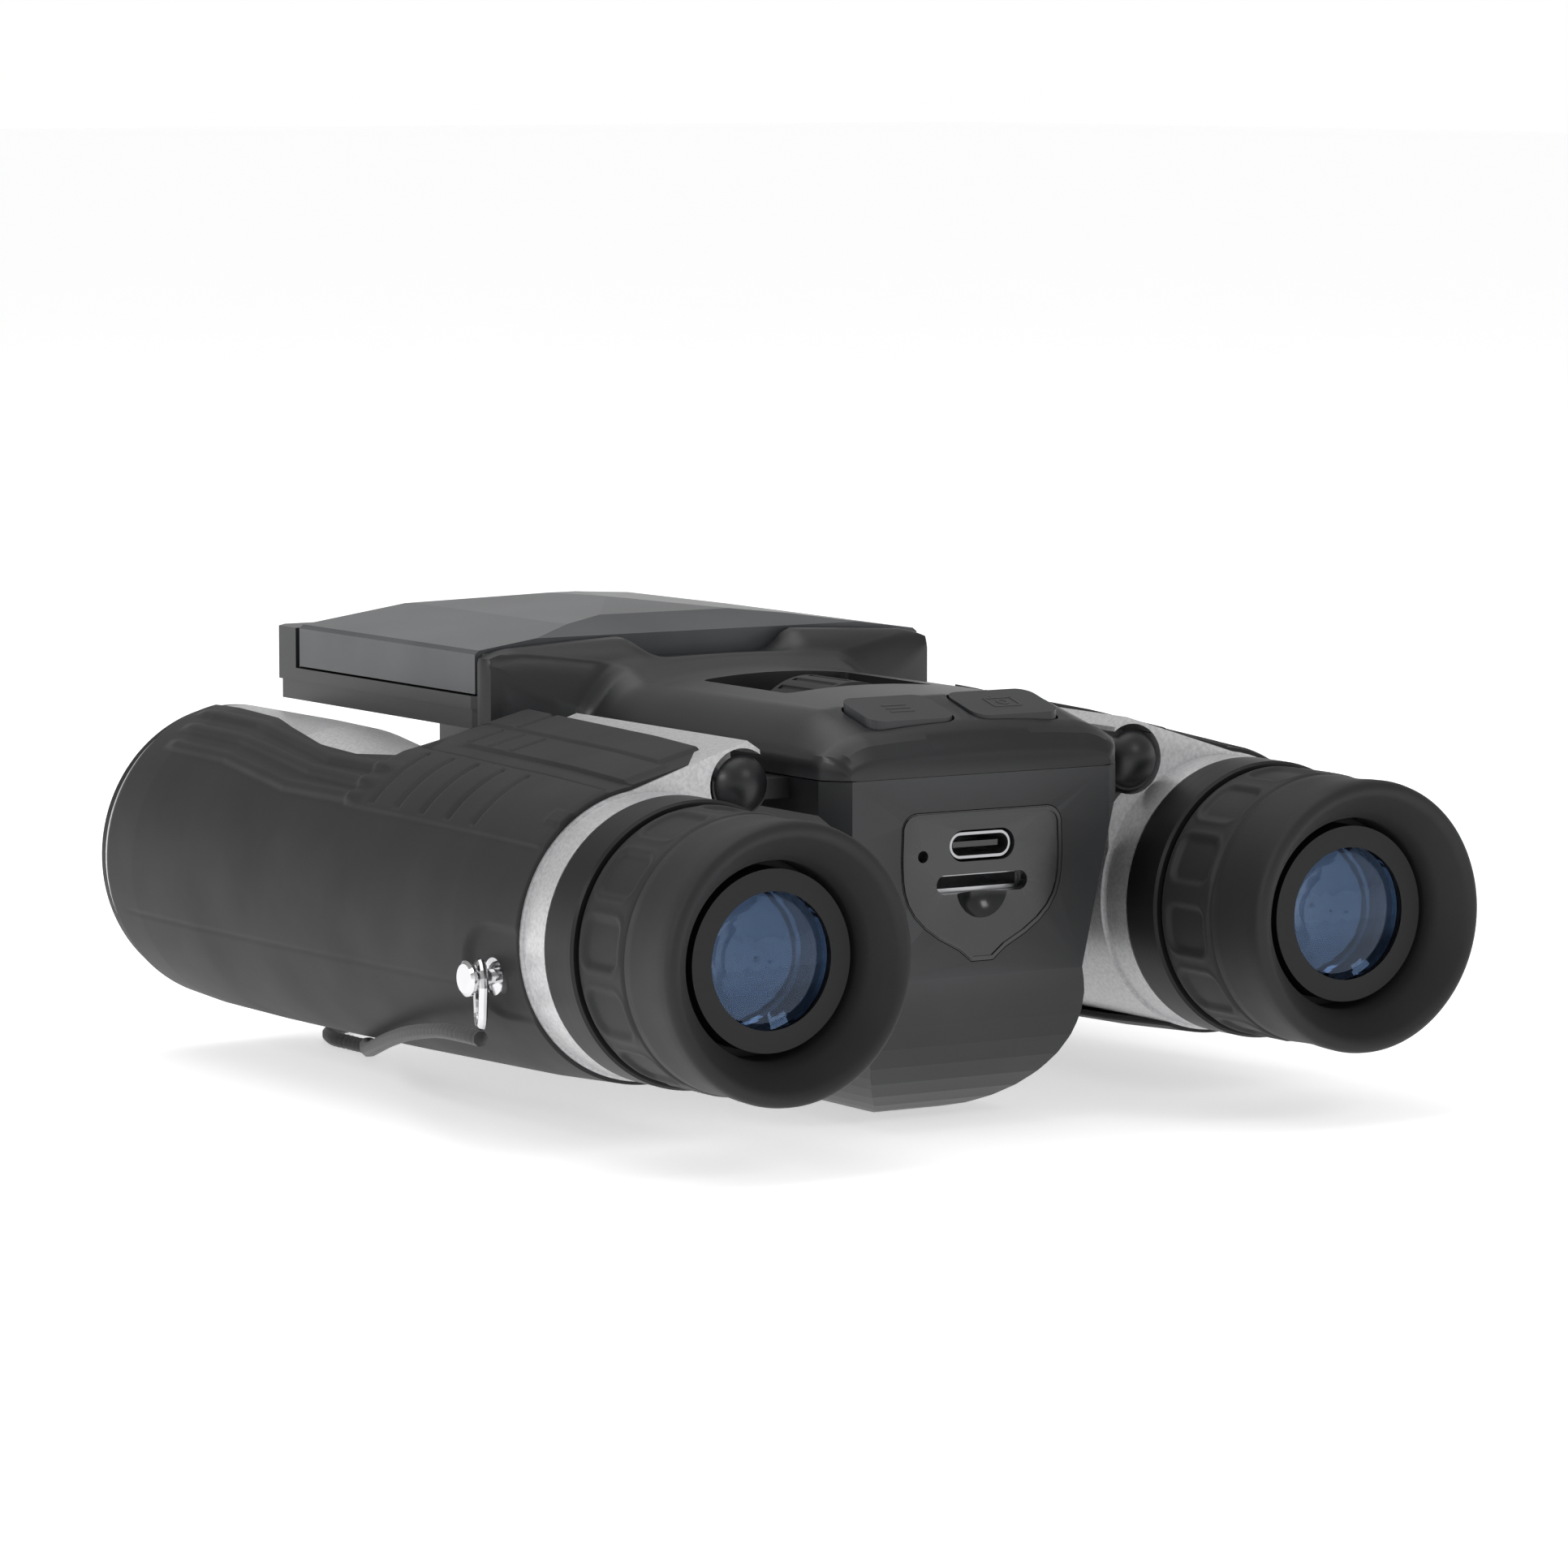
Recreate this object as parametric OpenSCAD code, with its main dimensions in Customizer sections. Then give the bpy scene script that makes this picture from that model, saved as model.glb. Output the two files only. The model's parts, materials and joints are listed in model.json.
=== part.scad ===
// Compact digital camera binoculars: two roof-prism barrels hinged to a centre
// body that holds a camera, a focus wheel and a flip-up screen.
// Frame: +Y points from the eyepieces to the objectives, +Z is up, and the
// keel under the centre body stands on Z = 0. Millimetres.

/* [Overall] */
// Eyecup rim to far edge of the screen tray
total_len = 145.8; // [138:0.2:175]
// Distance between the two optical axes, barrels spread
eye_spacing = 84.5; // [82:0.5:102]
// Height of the optical axes above the table
axis_z = 26; // [24.5:0.5:31]

/* [Barrels] */
// Outer radius of the objective ring
objective_r = 19.3; // [18.6:0.1:19.8]
// Radius of the objective lens
objective_lens_r = 16; // [13:0.1:16.4]
// Outer radius of the silver prism housing
prism_r = 17.9; // [17.4:0.1:18.4]
// Wall of the silver housing
housing_wall = 2; // [1.6:0.1:2.4]
// Rubber armour thickness
armour_t = 1.2; // [0.9:0.05:1.6]
// Radius of the silver eyepiece seat
seat_r = 17.5; // [16.6:0.1:17.8]
// Distance the eyecups stand in front of the centre body
eyecup_reach = 23.5; // [21:0.5:28]

/* [Eyepieces] */
// Outer radius of the eyecup
eyecup_r = 17; // [15.6:0.1:17.4]
// Inner radius of the eyecup rim
cup_mouth_r = 15; // [14:0.1:15.2]
// Depth from the eyecup rim to the lens bezel
cup_depth = 4.8; // [4.4:0.1:5.6]
// Outer radius of the lens bezel
bezel_r = 11; // [10.4:0.1:11.3]
// Radius of the eye lens
eye_lens_r = 8.6; // [7.2:0.1:9]
// Grip pads around each eyecup sleeve
grip_pads = 12; // [8:1:16]

/* [Centre body] */
// Length of the lower housing
body_len = 110; // [104:1:114]
// Half width of the body at its shoulders
body_hw = 22; // [21:0.2:22.4]
// Height of the seam between lower housing and top shell over the optical axes
seam_rise = 18.2; // [17:0.2:19]
// Height of the deck around the focus wheel over the optical axes
deck_rise = 27; // [26.4:0.2:29]
// Wall of the body shells
body_wall = 2; // [1.6:0.1:2.4]
// Radius of the rounded keel
keel_r = 15.6; // [15.3:0.1:16]
// Chamfer on the upright corners by the eyepieces
corner_cut = 3; // [2:0.1:4]

/* [Hinges] */
// Distance of each barrel hinge axis from the middle
hinge_x = 29; // [28.6:0.1:29.6]
// Height of the barrel hinge axes over the optical axes
hinge_rise = 17.6; // [17.2:0.1:18]
// Radius of the barrel hinge pins
hinge_pin_r = 1.5; // [1.2:0.1:1.8]
// Outer radius of the black hinge lugs
lug_r = 4; // [3.6:0.1:4.1]

/* [Screen] */
// Half width of the screen tray and lid
tray_hw = 34; // [32:0.5:35]
// Length of the screen tray
tray_len = 56.6; // [54:0.2:58]
// Height of the tray's underside over the optical axes
tray_rise = 19.8; // [19.4:0.2:20.4]
// Thickness of the tray, up to its top face under the lid
tray_t = 4.3; // [4:0.1:4.8]
// Height of the lid over the tray's top face
lid_rise = 9.9; // [8.9:0.2:11.9]
// Visible width of the display
display_w = 40.8; // [36:0.2:46]
// Visible height of the display
display_h = 30.6; // [27:0.2:32]
// Radius of the lid's hinge pin
lid_pin_r = 1; // [0.8:0.05:1.2]

/* [Controls] */
// Radius of the focus wheel
wheel_r = 9; // [8:0.1:9.4]
// Width of the focus wheel
wheel_w = 13; // [10:0.5:15]
// Width of each button on the deck
button_w = 12.5; // [10:0.1:13]
// Length of each button on the deck
button_l = 8.2; // [7:0.1:8.6]
// Radius of the keypad buttons under the lid
key_r = 2.9; // [2.2:0.1:3.2]
// Radius of the tripod thread in the keel
tripod_r = 3.175; // [3:0.005:3.4]

/* [Strap] */
// Diameter of the strap cord
cord_d = 2; // [1.8:0.1:2.2]
// Diameter of the wire in the strap rings
ring_wire = 1.2; // [1:0.1:1.4]
// Height of the strap rings
ring_h = 7.6; // [7:0.2:8.4]
// Mid radius of the stored coil of cord
coil_r = 11; // [10:0.5:12]

/* [Hidden] */
$fn = 48;

fit = 0.05;      // running clearance of pins in bores
gap = 0.25;      // clearance between parts that move past each other
seam = 0.05;     // gap at a joint line between fixed parts
eps = 0.1;       // overshoot of a cut

ax = eye_spacing / 2;
seam_z = axis_z + seam_rise;
deck_z = axis_z + deck_rise;
hinge_z = axis_z + hinge_rise;
tray_z = axis_z + tray_rise;
tray_top = tray_z + tray_t;
lid_top = tray_top + lid_rise;
rim_y = -total_len / 2;
face_y = rim_y + eyecup_reach;               // near face of the centre body
far_y = total_len / 2;                       // far edge of the tray
objective_y = far_y - 2.8;                   // front of the objective rings
prism_y = face_y + 9.5;                      // near face of the silver housing
prism_end = face_y + 62;
body_end = face_y + body_len;
tray_y = far_y - tray_len;                   // near edge of the tray
bezel_y = rim_y + cup_depth;
ring_y = face_y - 2;                         // near face of the fixed eyepiece ring

shoulder_z = seam_z - 4.2;
waist_z = shoulder_z - 3.5;
keel_cz = sqrt(keel_r * keel_r - 4.3 * 4.3); // leaves a flat 8.6 wide foot
crease_z = keel_cz + 4.2;

wheel_y0 = face_y + 28.5;
wheel_y1 = wheel_y0 + wheel_w;
wheel_z = deck_z + 0.3 - wheel_r;
window_y0 = wheel_y0 - 1.5;
window_y1 = wheel_y1 + 6.5;
window_hw = wheel_r + 2;
axle_r = 2.5;

lid_axis_y = far_y - 3.9;
lid_axis_z = tray_top + 3.4;
lid_bottom = tray_top + 0.3;
lid_y0 = tray_y + 1.1;
lid_y1 = lid_axis_y - 3.8;
tongue_r = 3.2;
tongue_hw = 17.2;
rail_x0 = tongue_hw + 0.3;

lug_len = 6.5;
lug_y0 = prism_y + 0.3;
lug2_y0 = prism_end - 11;
lug_clear = lug_r + 0.5;

strap_y = face_y + 16;
strap_z = axis_z - 4.5;
post_x = ax + 19.8;                          // middle of the strap post's neck
neck_r = 1;
recess_x = ax + prism_r - 1.3;               // flat behind the strap post
port_z = axis_z + 9.4;
slot_z = axis_z + 4.7;
camera_z = axis_z - 1;

// Children drawn in X-Z, extruded from y0 to y1
module slab_y(y0, y1) { translate([0, y1, 0]) rotate([90, 0, 0]) linear_extrude(y1 - y0) children(); }
// Children drawn in Y-Z, extruded from x0 to x1
module slab_x(x0, x1) { translate([x0, 0, 0]) rotate([90, 0, 90]) linear_extrude(x1 - x0) children(); }
// A round bar along Y
module bar_y(x, z, r, y0, y1) { translate([x, y0, z]) rotate([-90, 0, 0]) cylinder(r = r, h = y1 - y0); }
// A profile of [radius, y] points turned about the Y line through (x, z)
module turned_y(x, z) { translate([x, 0, z]) rotate([-90, 0, 0]) rotate_extrude() children(); }
module right_side() { mirror([1, 0, 0]) children(); }
function half(pts) = concat(pts, [for (i = [len(pts) - 1:-1:0]) [-pts[i][0], pts[i][1]]]);
function arc(cx, cy, rx, ry, a0, a1, n) =
    [for (i = [0:n]) let (a = a0 + (a1 - a0) * i / n) [cx + rx * cos(a), cy + ry * sin(a)]];
module rounded_box(w, l, r) {
    hull() for (x = [-1, 1], y = [-1, 1]) translate([x * (w / 2 - r), y * (l / 2 - r)]) circle(r, $fn = 32);
}
module stadium(w, h) { for (s = [-1, 1]) translate([s * (w - h) / 2, 0]) circle(h / 2);
    square([w - h, h], center = true); }

// Route of the neck cord's free stretches: from the strap ring under the left barrel to
// the coil, and from the coil to the right ring. The lead moves with its barrel.
lead_points = [[-62, -33.4, 14], [-62, -29, 14], [-61.4, -22, 13.6], [-59.8, -12, 12], [-57.2, -2, 9.8],
    [-53.8, 8, 7.4], [-49.4, 18, 5.4], [-44.8, 27, 4.4], [-40.8, 34, 3.4], [-37, 40, 2.2],
    [-34.4, 45, 1.2], [-34, 49, 1], [-34, 52, 1]];
left_run_points = [[-34, 52, 1], [-34, 56, 1], [-32, 61, 1], [-28, 65, 1], [-23, 68, 1], [-18, 71, 1],
    [-14, 74.6, 1], [-12.2, 78, 1]];
right_run_points = [[12.2, 78, 7], [13.4, 73, 6.4], [17, 69, 4.6], [22, 66.4, 2.4], [27, 64, 1.2],
    [32, 60, 1], [34, 56, 1], [34, 52, 1]];

// ---------- Centre body ----------

// Outer form of the lower housing, drawn in by d on every side
module body_form(d) {
    k = keel_r - d;
    intersection() {
        slab_y(face_y + d, body_end - d) intersection() {
            polygon(half(concat(
                [[body_hw - d, seam_z + eps], [body_hw - d, shoulder_z], [body_hw - 3 - d, waist_z],
                    [sqrt(k * k - 4.2 * 4.2), crease_z]],
                arc(0, keel_cz, k, k, 10, -90, 14))));
            translate([-50, d]) square([100, 100]);
        }
        slab_x(-50, 50) polygon(concat(
            [[face_y + d, seam_z + eps], [face_y + d, crease_z]],
            arc(face_y + 20, crease_z, 20 - d, crease_z - d, 180, 270, 10),
            arc(body_end - 14, 16, 14 - d, 16 - d, -90, 0, 8),
            [[body_end - d, seam_z + eps]]));
        linear_extrude(100) polygon(half([
            [body_hw - corner_cut - d, face_y + d], [body_hw - d, face_y + corner_cut + d],
            [body_hw - d, prism_end - 2], [body_hw - 7 - d, prism_end + 4], [body_hw - 7 - d,
                body_end - d]]));
    }
}
module shield(d) {
    offset(r = d) polygon(half(concat(
        arc(9.6, axis_z + 11.6, 2.2, 2.2, 90, 10, 4),
        [for (t = [0.1:0.1:0.9]) [11.9 * cos(90 * t * t), axis_z + 10 - 15 * t]],
        [[1.6, axis_z - 5]])));
}
module hinge_lug(y0) {
    difference() {
        union() {
            bar_y(-hinge_x, hinge_z, lug_r, y0, y0 + lug_len);
            translate([-hinge_x, y0, hinge_z - 2]) cube([hinge_x - body_hw + 1.5, lug_len, 2.5]);
        }
        bar_y(-hinge_x, hinge_z, hinge_pin_r + 0.02, y0 - 1, y0 + lug_len + 1);
    }
}
module lower_housing() {
    color([0.13, 0.13, 0.14]) difference() {
        union() {
            difference() {
                body_form(0);
                difference() {
                    body_form(body_wall);
                    bar_y(0, camera_z, 12.6, body_end - 14, body_end);
                    translate([0, face_y + 46, 0]) cylinder(r = 6.5, h = 9);
                }
            }
            for (y = [lug_y0, lug2_y0]) {
                hinge_lug(y);
                right_side() hinge_lug(y);
            }
        }
        translate([-60, -100, seam_z]) cube([120, 200, 20]);
        slab_y(face_y - 1, face_y + 1.65) shield(0.05);
        translate([0, face_y - 1, port_z]) rotate([-90, 0, 0]) linear_extrude(8) stadium(9.6, 3.9);
        translate([0, face_y - 1, slot_z]) rotate([-90, 0, 0]) linear_extrude(8) stadium(13.4, 2.4);
        bar_y(0, camera_z, 11.05, body_end - 20, body_end + 1);
        translate([0, face_y + 46, -1]) cylinder(r = 4.52, h = 8);
    }
}

// Height of the deck's outer surface over its length: [y, z] points
deck_line = [[face_y, seam_z], [face_y, deck_z - 6.4], [face_y + 0.8, deck_z - 4], [face_y + 2.6,
    deck_z - 2.4],
    [face_y + 11.5, deck_z], [face_y + 50, deck_z], [face_y + 57, deck_z + 1.2], [tray_y - 0.4,
        deck_z + 4.2]];
module deck_form(d, lift = 0) {
    intersection() {
        slab_x(-50, 50) translate([0, lift]) polygon(concat(
            [for (i = [0:len(deck_line) - 1]) [max(deck_line[i][0], face_y + d),
                deck_line[i][1] - (i == 0 ? 1 : d)]],
            [[tray_y - 0.4, seam_z - 1]]));
        slab_y(face_y - 1, tray_y) polygon(half([[body_hw - d, seam_z - 1], [body_hw - d, deck_z - 3],
            [body_hw - 2.4 - d, deck_z - 0.8 + lift], [body_hw - 5 - d, deck_z + 4.4 - d + lift]]));
        linear_extrude(100) polygon(half([[body_hw - corner_cut - d, face_y + d],
            [body_hw - d, face_y + corner_cut + d], [body_hw - d, tray_y]]));
    }
}
button_x = 1.5 + button_w / 2;
button_y = face_y + 3.1 + button_l / 2;
module button_outline(s, d) {
    translate([s * button_x, button_y]) offset(r = d) rounded_box(button_w, button_l, 2);
}
module top_shell() {
    color([0.16, 0.16, 0.17]) difference() {
        deck_form(0);
        difference() {
            deck_form(body_wall);
            translate([-50, face_y, seam_z - 2]) cube([100, 4, 2]);
        }
        translate([-60, -100, seam_z - 20 + seam]) cube([120, 200, 20]);
        translate([-window_hw, window_y0, seam_z - 1]) cube([2 * window_hw, window_y1 - window_y0, 20]);
        for (s = [-1, 1]) translate([0, 0, seam_z]) linear_extrude(20) button_outline(s, gap);
        // notch for the finger that lifts the lid
        slab_y(tray_y - 6, tray_y + 1) hull() {
            translate([-9, deck_z + 2.4]) circle(1);
            translate([9, deck_z + 2.4]) circle(1);
            translate([-12, deck_z + 8]) square([24, 1]);
        }
    }
}
module deck_button(s) {
    color([0.15, 0.15, 0.16]) intersection() {
        deck_form(0, 0.3);
        translate([0, 0, deck_z - 5.2]) linear_extrude(20) button_outline(s, 0);
    }
}

// ---------- Screen tray ----------

groove_z = tray_z + 2.2;
module tray_plan(d) {
    polygon(half([[tray_hw - 2 - d, tray_y + d], [tray_hw - d, tray_y + 2 + d],
        [tray_hw - d, far_y - 2 - d], [tray_hw - 2 - d, far_y - d]]));
}
key_xs = [-24, -8, 8, 24];
key_y = tray_y + 9;
module screen_tray() {
    color([0.14, 0.14, 0.15]) difference() {
        union() {
            translate([0, 0, groove_z + 0.4]) linear_extrude(tray_top - groove_z - 0.4) tray_plan(0);
            // far rails that carry the lid's hinge pin
            for (s = [-1, 1]) intersection() {
                translate([s > 0 ? rail_x0 : -rail_x0 - 40, lid_axis_y - 2.9, tray_top - 1]) cube([40,
                    6.8, 6.4]);
                linear_extrude(100) tray_plan(0);
            }
            // near corner wings
            for (s = [-1, 1]) intersection() {
                slab_y(tray_y, tray_y + 0.9) polygon([[s * 17.5, tray_top - 1], [s * 40, tray_top - 1],
                    [s * 40, tray_top + 5], [s * 17.5, tray_top + 6.5]]);
                linear_extrude(100) tray_plan(0);
            }
        }
        for (x = key_xs) translate([x, key_y, groove_z - 1]) cylinder(r = key_r + gap, h = 10);
        translate([-22, tray_y + 16, tray_top - 0.8]) cube([44, 34, 5]);
        translate([-29, lid_axis_y, lid_axis_z]) rotate([0, 90, 0]) cylinder(r = lid_pin_r + 0.02, h = 58);
        for (x = [-29, 29], y = [tray_y + 5, far_y - 8]) translate([x, y,
            groove_z - 1]) cylinder(r = 0.85, h = 2.6);
    }
}
module tray_underside() {
    color([0.12, 0.12, 0.13]) difference() {
        translate([0, 0, tray_z]) linear_extrude(groove_z - tray_z + 0.35) tray_plan(0.35);
        // the centre body comes up through this plate
        translate([-body_hw + 6.8, tray_y - 1, tray_z - 1]) cube([2 * body_hw - 13.6,
            body_end - tray_y + 1.2, 1.3]);
        translate([-12, tray_y + 18, tray_z - 1]) cube([24, 14, 8]);
        for (x = [-29, 29], y = [tray_y + 5, far_y - 8]) translate([x, y, 0]) {
            translate([0, 0, tray_z - 1]) cylinder(r = 1.95, h = 2);
            cylinder(r = 0.85, h = 60);
        }
    }
}
module tray_screws() {
    color([0.5, 0.5, 0.52]) for (x = [-29, 29], y = [tray_y + 5, far_y - 8]) translate([x, y,
        tray_z - 0.05]) {
        difference() {
            cylinder(r = 1.85, h = 0.95);
            for (a = [0, 90]) rotate(a) translate([-1.1, -0.2, -eps]) cube([2.2, 0.4, 0.5]);
        }
        cylinder(r = 0.8, h = 3.6);
    }
}
module key(x) {
    color([0.2, 0.2, 0.21]) translate([x, key_y, groove_z + 0.85]) {
        cylinder(r = key_r, h = tray_top - groove_z - 0.95);
        translate([0, 0, tray_top - groove_z - 0.95]) cylinder(r = key_r - 0.6, h = 0.15);
    }
}

// ---------- Lid ----------

module lid_form(d) {
    intersection() {
        slab_y(lid_y0 + d, lid_y1 - d) polygon(half([[tray_hw - 0.1 - d, lid_bottom - eps],
            [tray_hw - 0.1 - d, tray_top + 5.4 - d],
            [tray_hw - 0.7 - d, tray_top + 5.9 - d], [17, lid_top - 1.7 - d], [0, lid_top - d]]));
        slab_x(-50, 50) polygon([[lid_y0 + d, lid_bottom - eps], [lid_y0 + d, lid_top - 2.8 - d],
            [lid_y0 + 9, lid_top - 1 - d],
            [lid_y0 + 24, lid_top - d], [lid_y1 - 12, lid_top - 0.2 - d], [lid_y1 - d,
                lid_top - 1.8 - d], [lid_y1 - d, lid_bottom - eps]]);
    }
}
module lid_cover() {
    color([0.2, 0.2, 0.21]) difference() {
        union() {
            lid_form(0);
            intersection() {
                translate([-tongue_hw, lid_y1 - 1, lid_axis_z]) rotate([0, 90, 0])
                    linear_extrude(2 * tongue_hw) union() {
                        translate([0, 1 + 3.8]) circle(tongue_r);
                        translate([-tongue_r, 0]) square([2 * tongue_r, 4.8]);
                    }
                translate([-50, 0, lid_bottom - 0.1]) cube([100, 200, 50]);
            }
        }
        translate([-50, -100, lid_bottom - 10]) cube([100, lid_y1 + 99.8, 10]);
        // pocket for the display stack
        translate([-27, lid_y0 + 4, lid_bottom - 1]) cube([54, 38.4, 6.4]);
        translate([-30, lid_axis_y, lid_axis_z]) rotate([0, 90, 0]) cylinder(r = lid_pin_r + fit, h = 60);
        translate([-11, lid_y0 - 1, lid_bottom - 1]) cube([22, 2, 2.4]);
    }
}
display_y = lid_y0 + 4 + 38.4 / 2;
module display_frame() {
    color([0.05, 0.05, 0.06]) difference() {
        translate([-26.9, lid_y0 + 4.1, lid_bottom]) cube([53.8, 38.2, 1.2]);
        translate([-display_w / 2, display_y - display_h / 2, lid_bottom - 1]) cube([display_w,
            display_h, 4]);
    }
}
module display_window() {
    color([0.08, 0.09, 0.11]) translate([-display_w / 2 + seam, display_y - display_h / 2 + seam,
        lid_bottom + 0.3])
        cube([display_w - 2 * seam, display_h - 2 * seam, 0.85]);
}
module display_panel() {
    color([0.1, 0.12, 0.16]) translate([-25, display_y - 18.4, lid_bottom + 1.25]) cube([50, 36.8, 3.2]);
}
module lid_hinge_pin() {
    color([0.7, 0.7, 0.72]) translate([-28.8, lid_axis_y, lid_axis_z]) rotate([0, 90,
        0]) cylinder(r = lid_pin_r, h = 57.6);
}

// ---------- Ports and electronics ----------

module port_panel() {
    color([0.12, 0.12, 0.13]) difference() {
        union() {
            slab_y(face_y, face_y + 1.6) shield(-seam);
            slab_y(face_y - 0.2, face_y + 0.1) difference() {
                shield(-0.2);
                shield(-0.6);
            }
        }
        translate([0, face_y - 1, port_z]) rotate([-90, 0, 0]) linear_extrude(8) stadium(9.6, 3.9);
        translate([0, face_y - 1, slot_z]) rotate([-90, 0, 0]) linear_extrude(8) stadium(13.4, 2.4);
        bar_y(-8.7, axis_z + 8.4, 0.75, face_y - 1, face_y + 5);
        // fingernail scoop under the card slot
        intersection() {
            translate([0, face_y - 3.6, slot_z - 0.6]) sphere(r = 5.2);
            translate([-10, face_y - 10, slot_z - 11.2]) cube([20, 20, 10]);
        }
    }
}
module usb_shell() {
    color([0.75, 0.75, 0.77]) slab_y(face_y + 0.5, face_y + 7.8) translate([0, port_z]) difference() {
        stadium(8.94, 3.26);
        stadium(8.34, 2.56);
    }
}
module usb_tongue() {
    color([0.1, 0.1, 0.1]) {
        translate([-3.35, face_y + 1.6, port_z - 0.35]) cube([6.7, 5.2, 0.7]);
        slab_y(face_y + 6.8, face_y + 7.8) translate([0, port_z]) stadium(8.3, 2.5);
    }
}
module card_socket() {
    color([0.35, 0.35, 0.37]) difference() {
        translate([-7.2, face_y + 2.1, slot_z - 1.4]) cube([14.4, 14.6, 2.8]);
        translate([-6.3, face_y + 1, slot_z - 0.7]) cube([12.6, 14.8, 1.5]);
    }
}
module main_board() {
    color([0.05, 0.3, 0.15]) difference() {
        translate([-9, face_y + 4, port_z - 2.9]) cube([18, 56, 1.1]);
        translate([-9.5, face_y + 3, port_z - 2.95]) cube([19, 1.2, 0.1]);
    }
}
module battery_cell() {
    color([0.2, 0.35, 0.6]) translate([-7.5, face_y + 54, 8]) cube([15, 28, 20]);
}
module camera_tube() {
    color([0.07, 0.07, 0.08]) difference() {
        turned_y(0, camera_z) polygon([[0, body_end - 20], [11, body_end - 20], [11, body_end], [12.6,
            body_end + 0.1],
            [12.6, body_end + 2.6], [11.8, body_end + 3.4], [0, body_end + 3.4]]);
        turned_y(0, camera_z) polygon([[0, body_end - 21], [7, body_end - 21], [7, body_end - 3.2],
            [9.05, body_end - 3.1],
            [9.05, body_end + 1], [10.4, body_end + 3.5], [0, body_end + 3.5]]);
    }
}
// A lens with two bulged faces: r, edge thickness t, bulge b, its middle at y
module lens(x, z, y, r, t, b) {
    turned_y(x, z) polygon(concat(
        [[0, y - t / 2 - b]],
        [for (i = [1:6]) [r * i / 6, y - t / 2 - b * (1 - pow(i / 6, 2))]],
        [for (i = [6:-1:1]) [r * i / 6, y + t / 2 + b * (1 - pow(i / 6, 2))]],
        [[0, y + t / 2 + b]]));
}
module camera_lens() { color([0.3, 0.4, 0.5, 0.6]) lens(0, camera_z, body_end - 1.4, 9, 2, 0.8); }
module image_sensor() { color([0.2, 0.25, 0.3]) translate([-6.8, body_end - 22.4,
    camera_z - 6.8]) cube([13.6, 1.6, 13.6]); }
module tripod_insert() {
    color([0.75, 0.62, 0.3]) translate([0, face_y + 46, 0]) difference() {
        cylinder(r = 4.5, h = 6.9);
        translate([0, 0, -eps]) cylinder(r = tripod_r, h = 6 + eps);
    }
}

// ---------- Hinges and focus drive ----------

module hinge_pins() {
    color([0.7, 0.7, 0.72]) for (s = [-1, 1])
        bar_y(s * hinge_x, hinge_z, hinge_pin_r, lug_y0 + 0.6, lug2_y0 + lug_len - 0.6);
}
module hinge_caps() {
    color([0.1, 0.1, 0.11]) for (s = [-1, 1]) intersection() {
        translate([s * hinge_x, lug_y0 + 1.2, hinge_z]) sphere(r = lug_r - 0.1);
        bar_y(s * hinge_x, hinge_z, lug_r, lug_y0 - 3, lug_y0 - seam);
    }
}
module focus_axle() {
    color([0.7, 0.7, 0.72]) bar_y(0, wheel_z, axle_r, wheel_y0 - 5, face_y + 62);
}
module focus_wheel() {
    color([0.1, 0.1, 0.1]) difference() {
        turned_y(0, wheel_z) polygon([[axle_r + fit, wheel_y0], [wheel_r - 0.8, wheel_y0], [wheel_r,
            wheel_y0 + 0.8],
            [wheel_r, wheel_y1 - 0.8], [wheel_r - 0.8, wheel_y1], [axle_r + fit, wheel_y1]]);
        for (a = [0:15:345]) translate([0, 0, wheel_z]) rotate([0, a, 0])
            translate([0, wheel_y0 + 1.6, wheel_r + 0.2]) rotate([-90, 0, 0]) cylinder(r = 0.5,
                h = wheel_w - 3.2, $fn = 24);
    }
}
carriage_y = wheel_y1 + 8.6;
module focus_carriage() {
    color([0.6, 0.6, 0.62]) difference() {
        union() {
            bar_y(0, wheel_z, 4.4, carriage_y, carriage_y + 5);
            translate([-15, carriage_y + 1, wheel_z - 6]) cube([30, 3, 3]);
        }
        bar_y(0, wheel_z, axle_r + fit, carriage_y - 1, carriage_y + 6);
    }
}

// ---------- Barrels (the left one; the right is its mirror image) ----------

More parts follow.
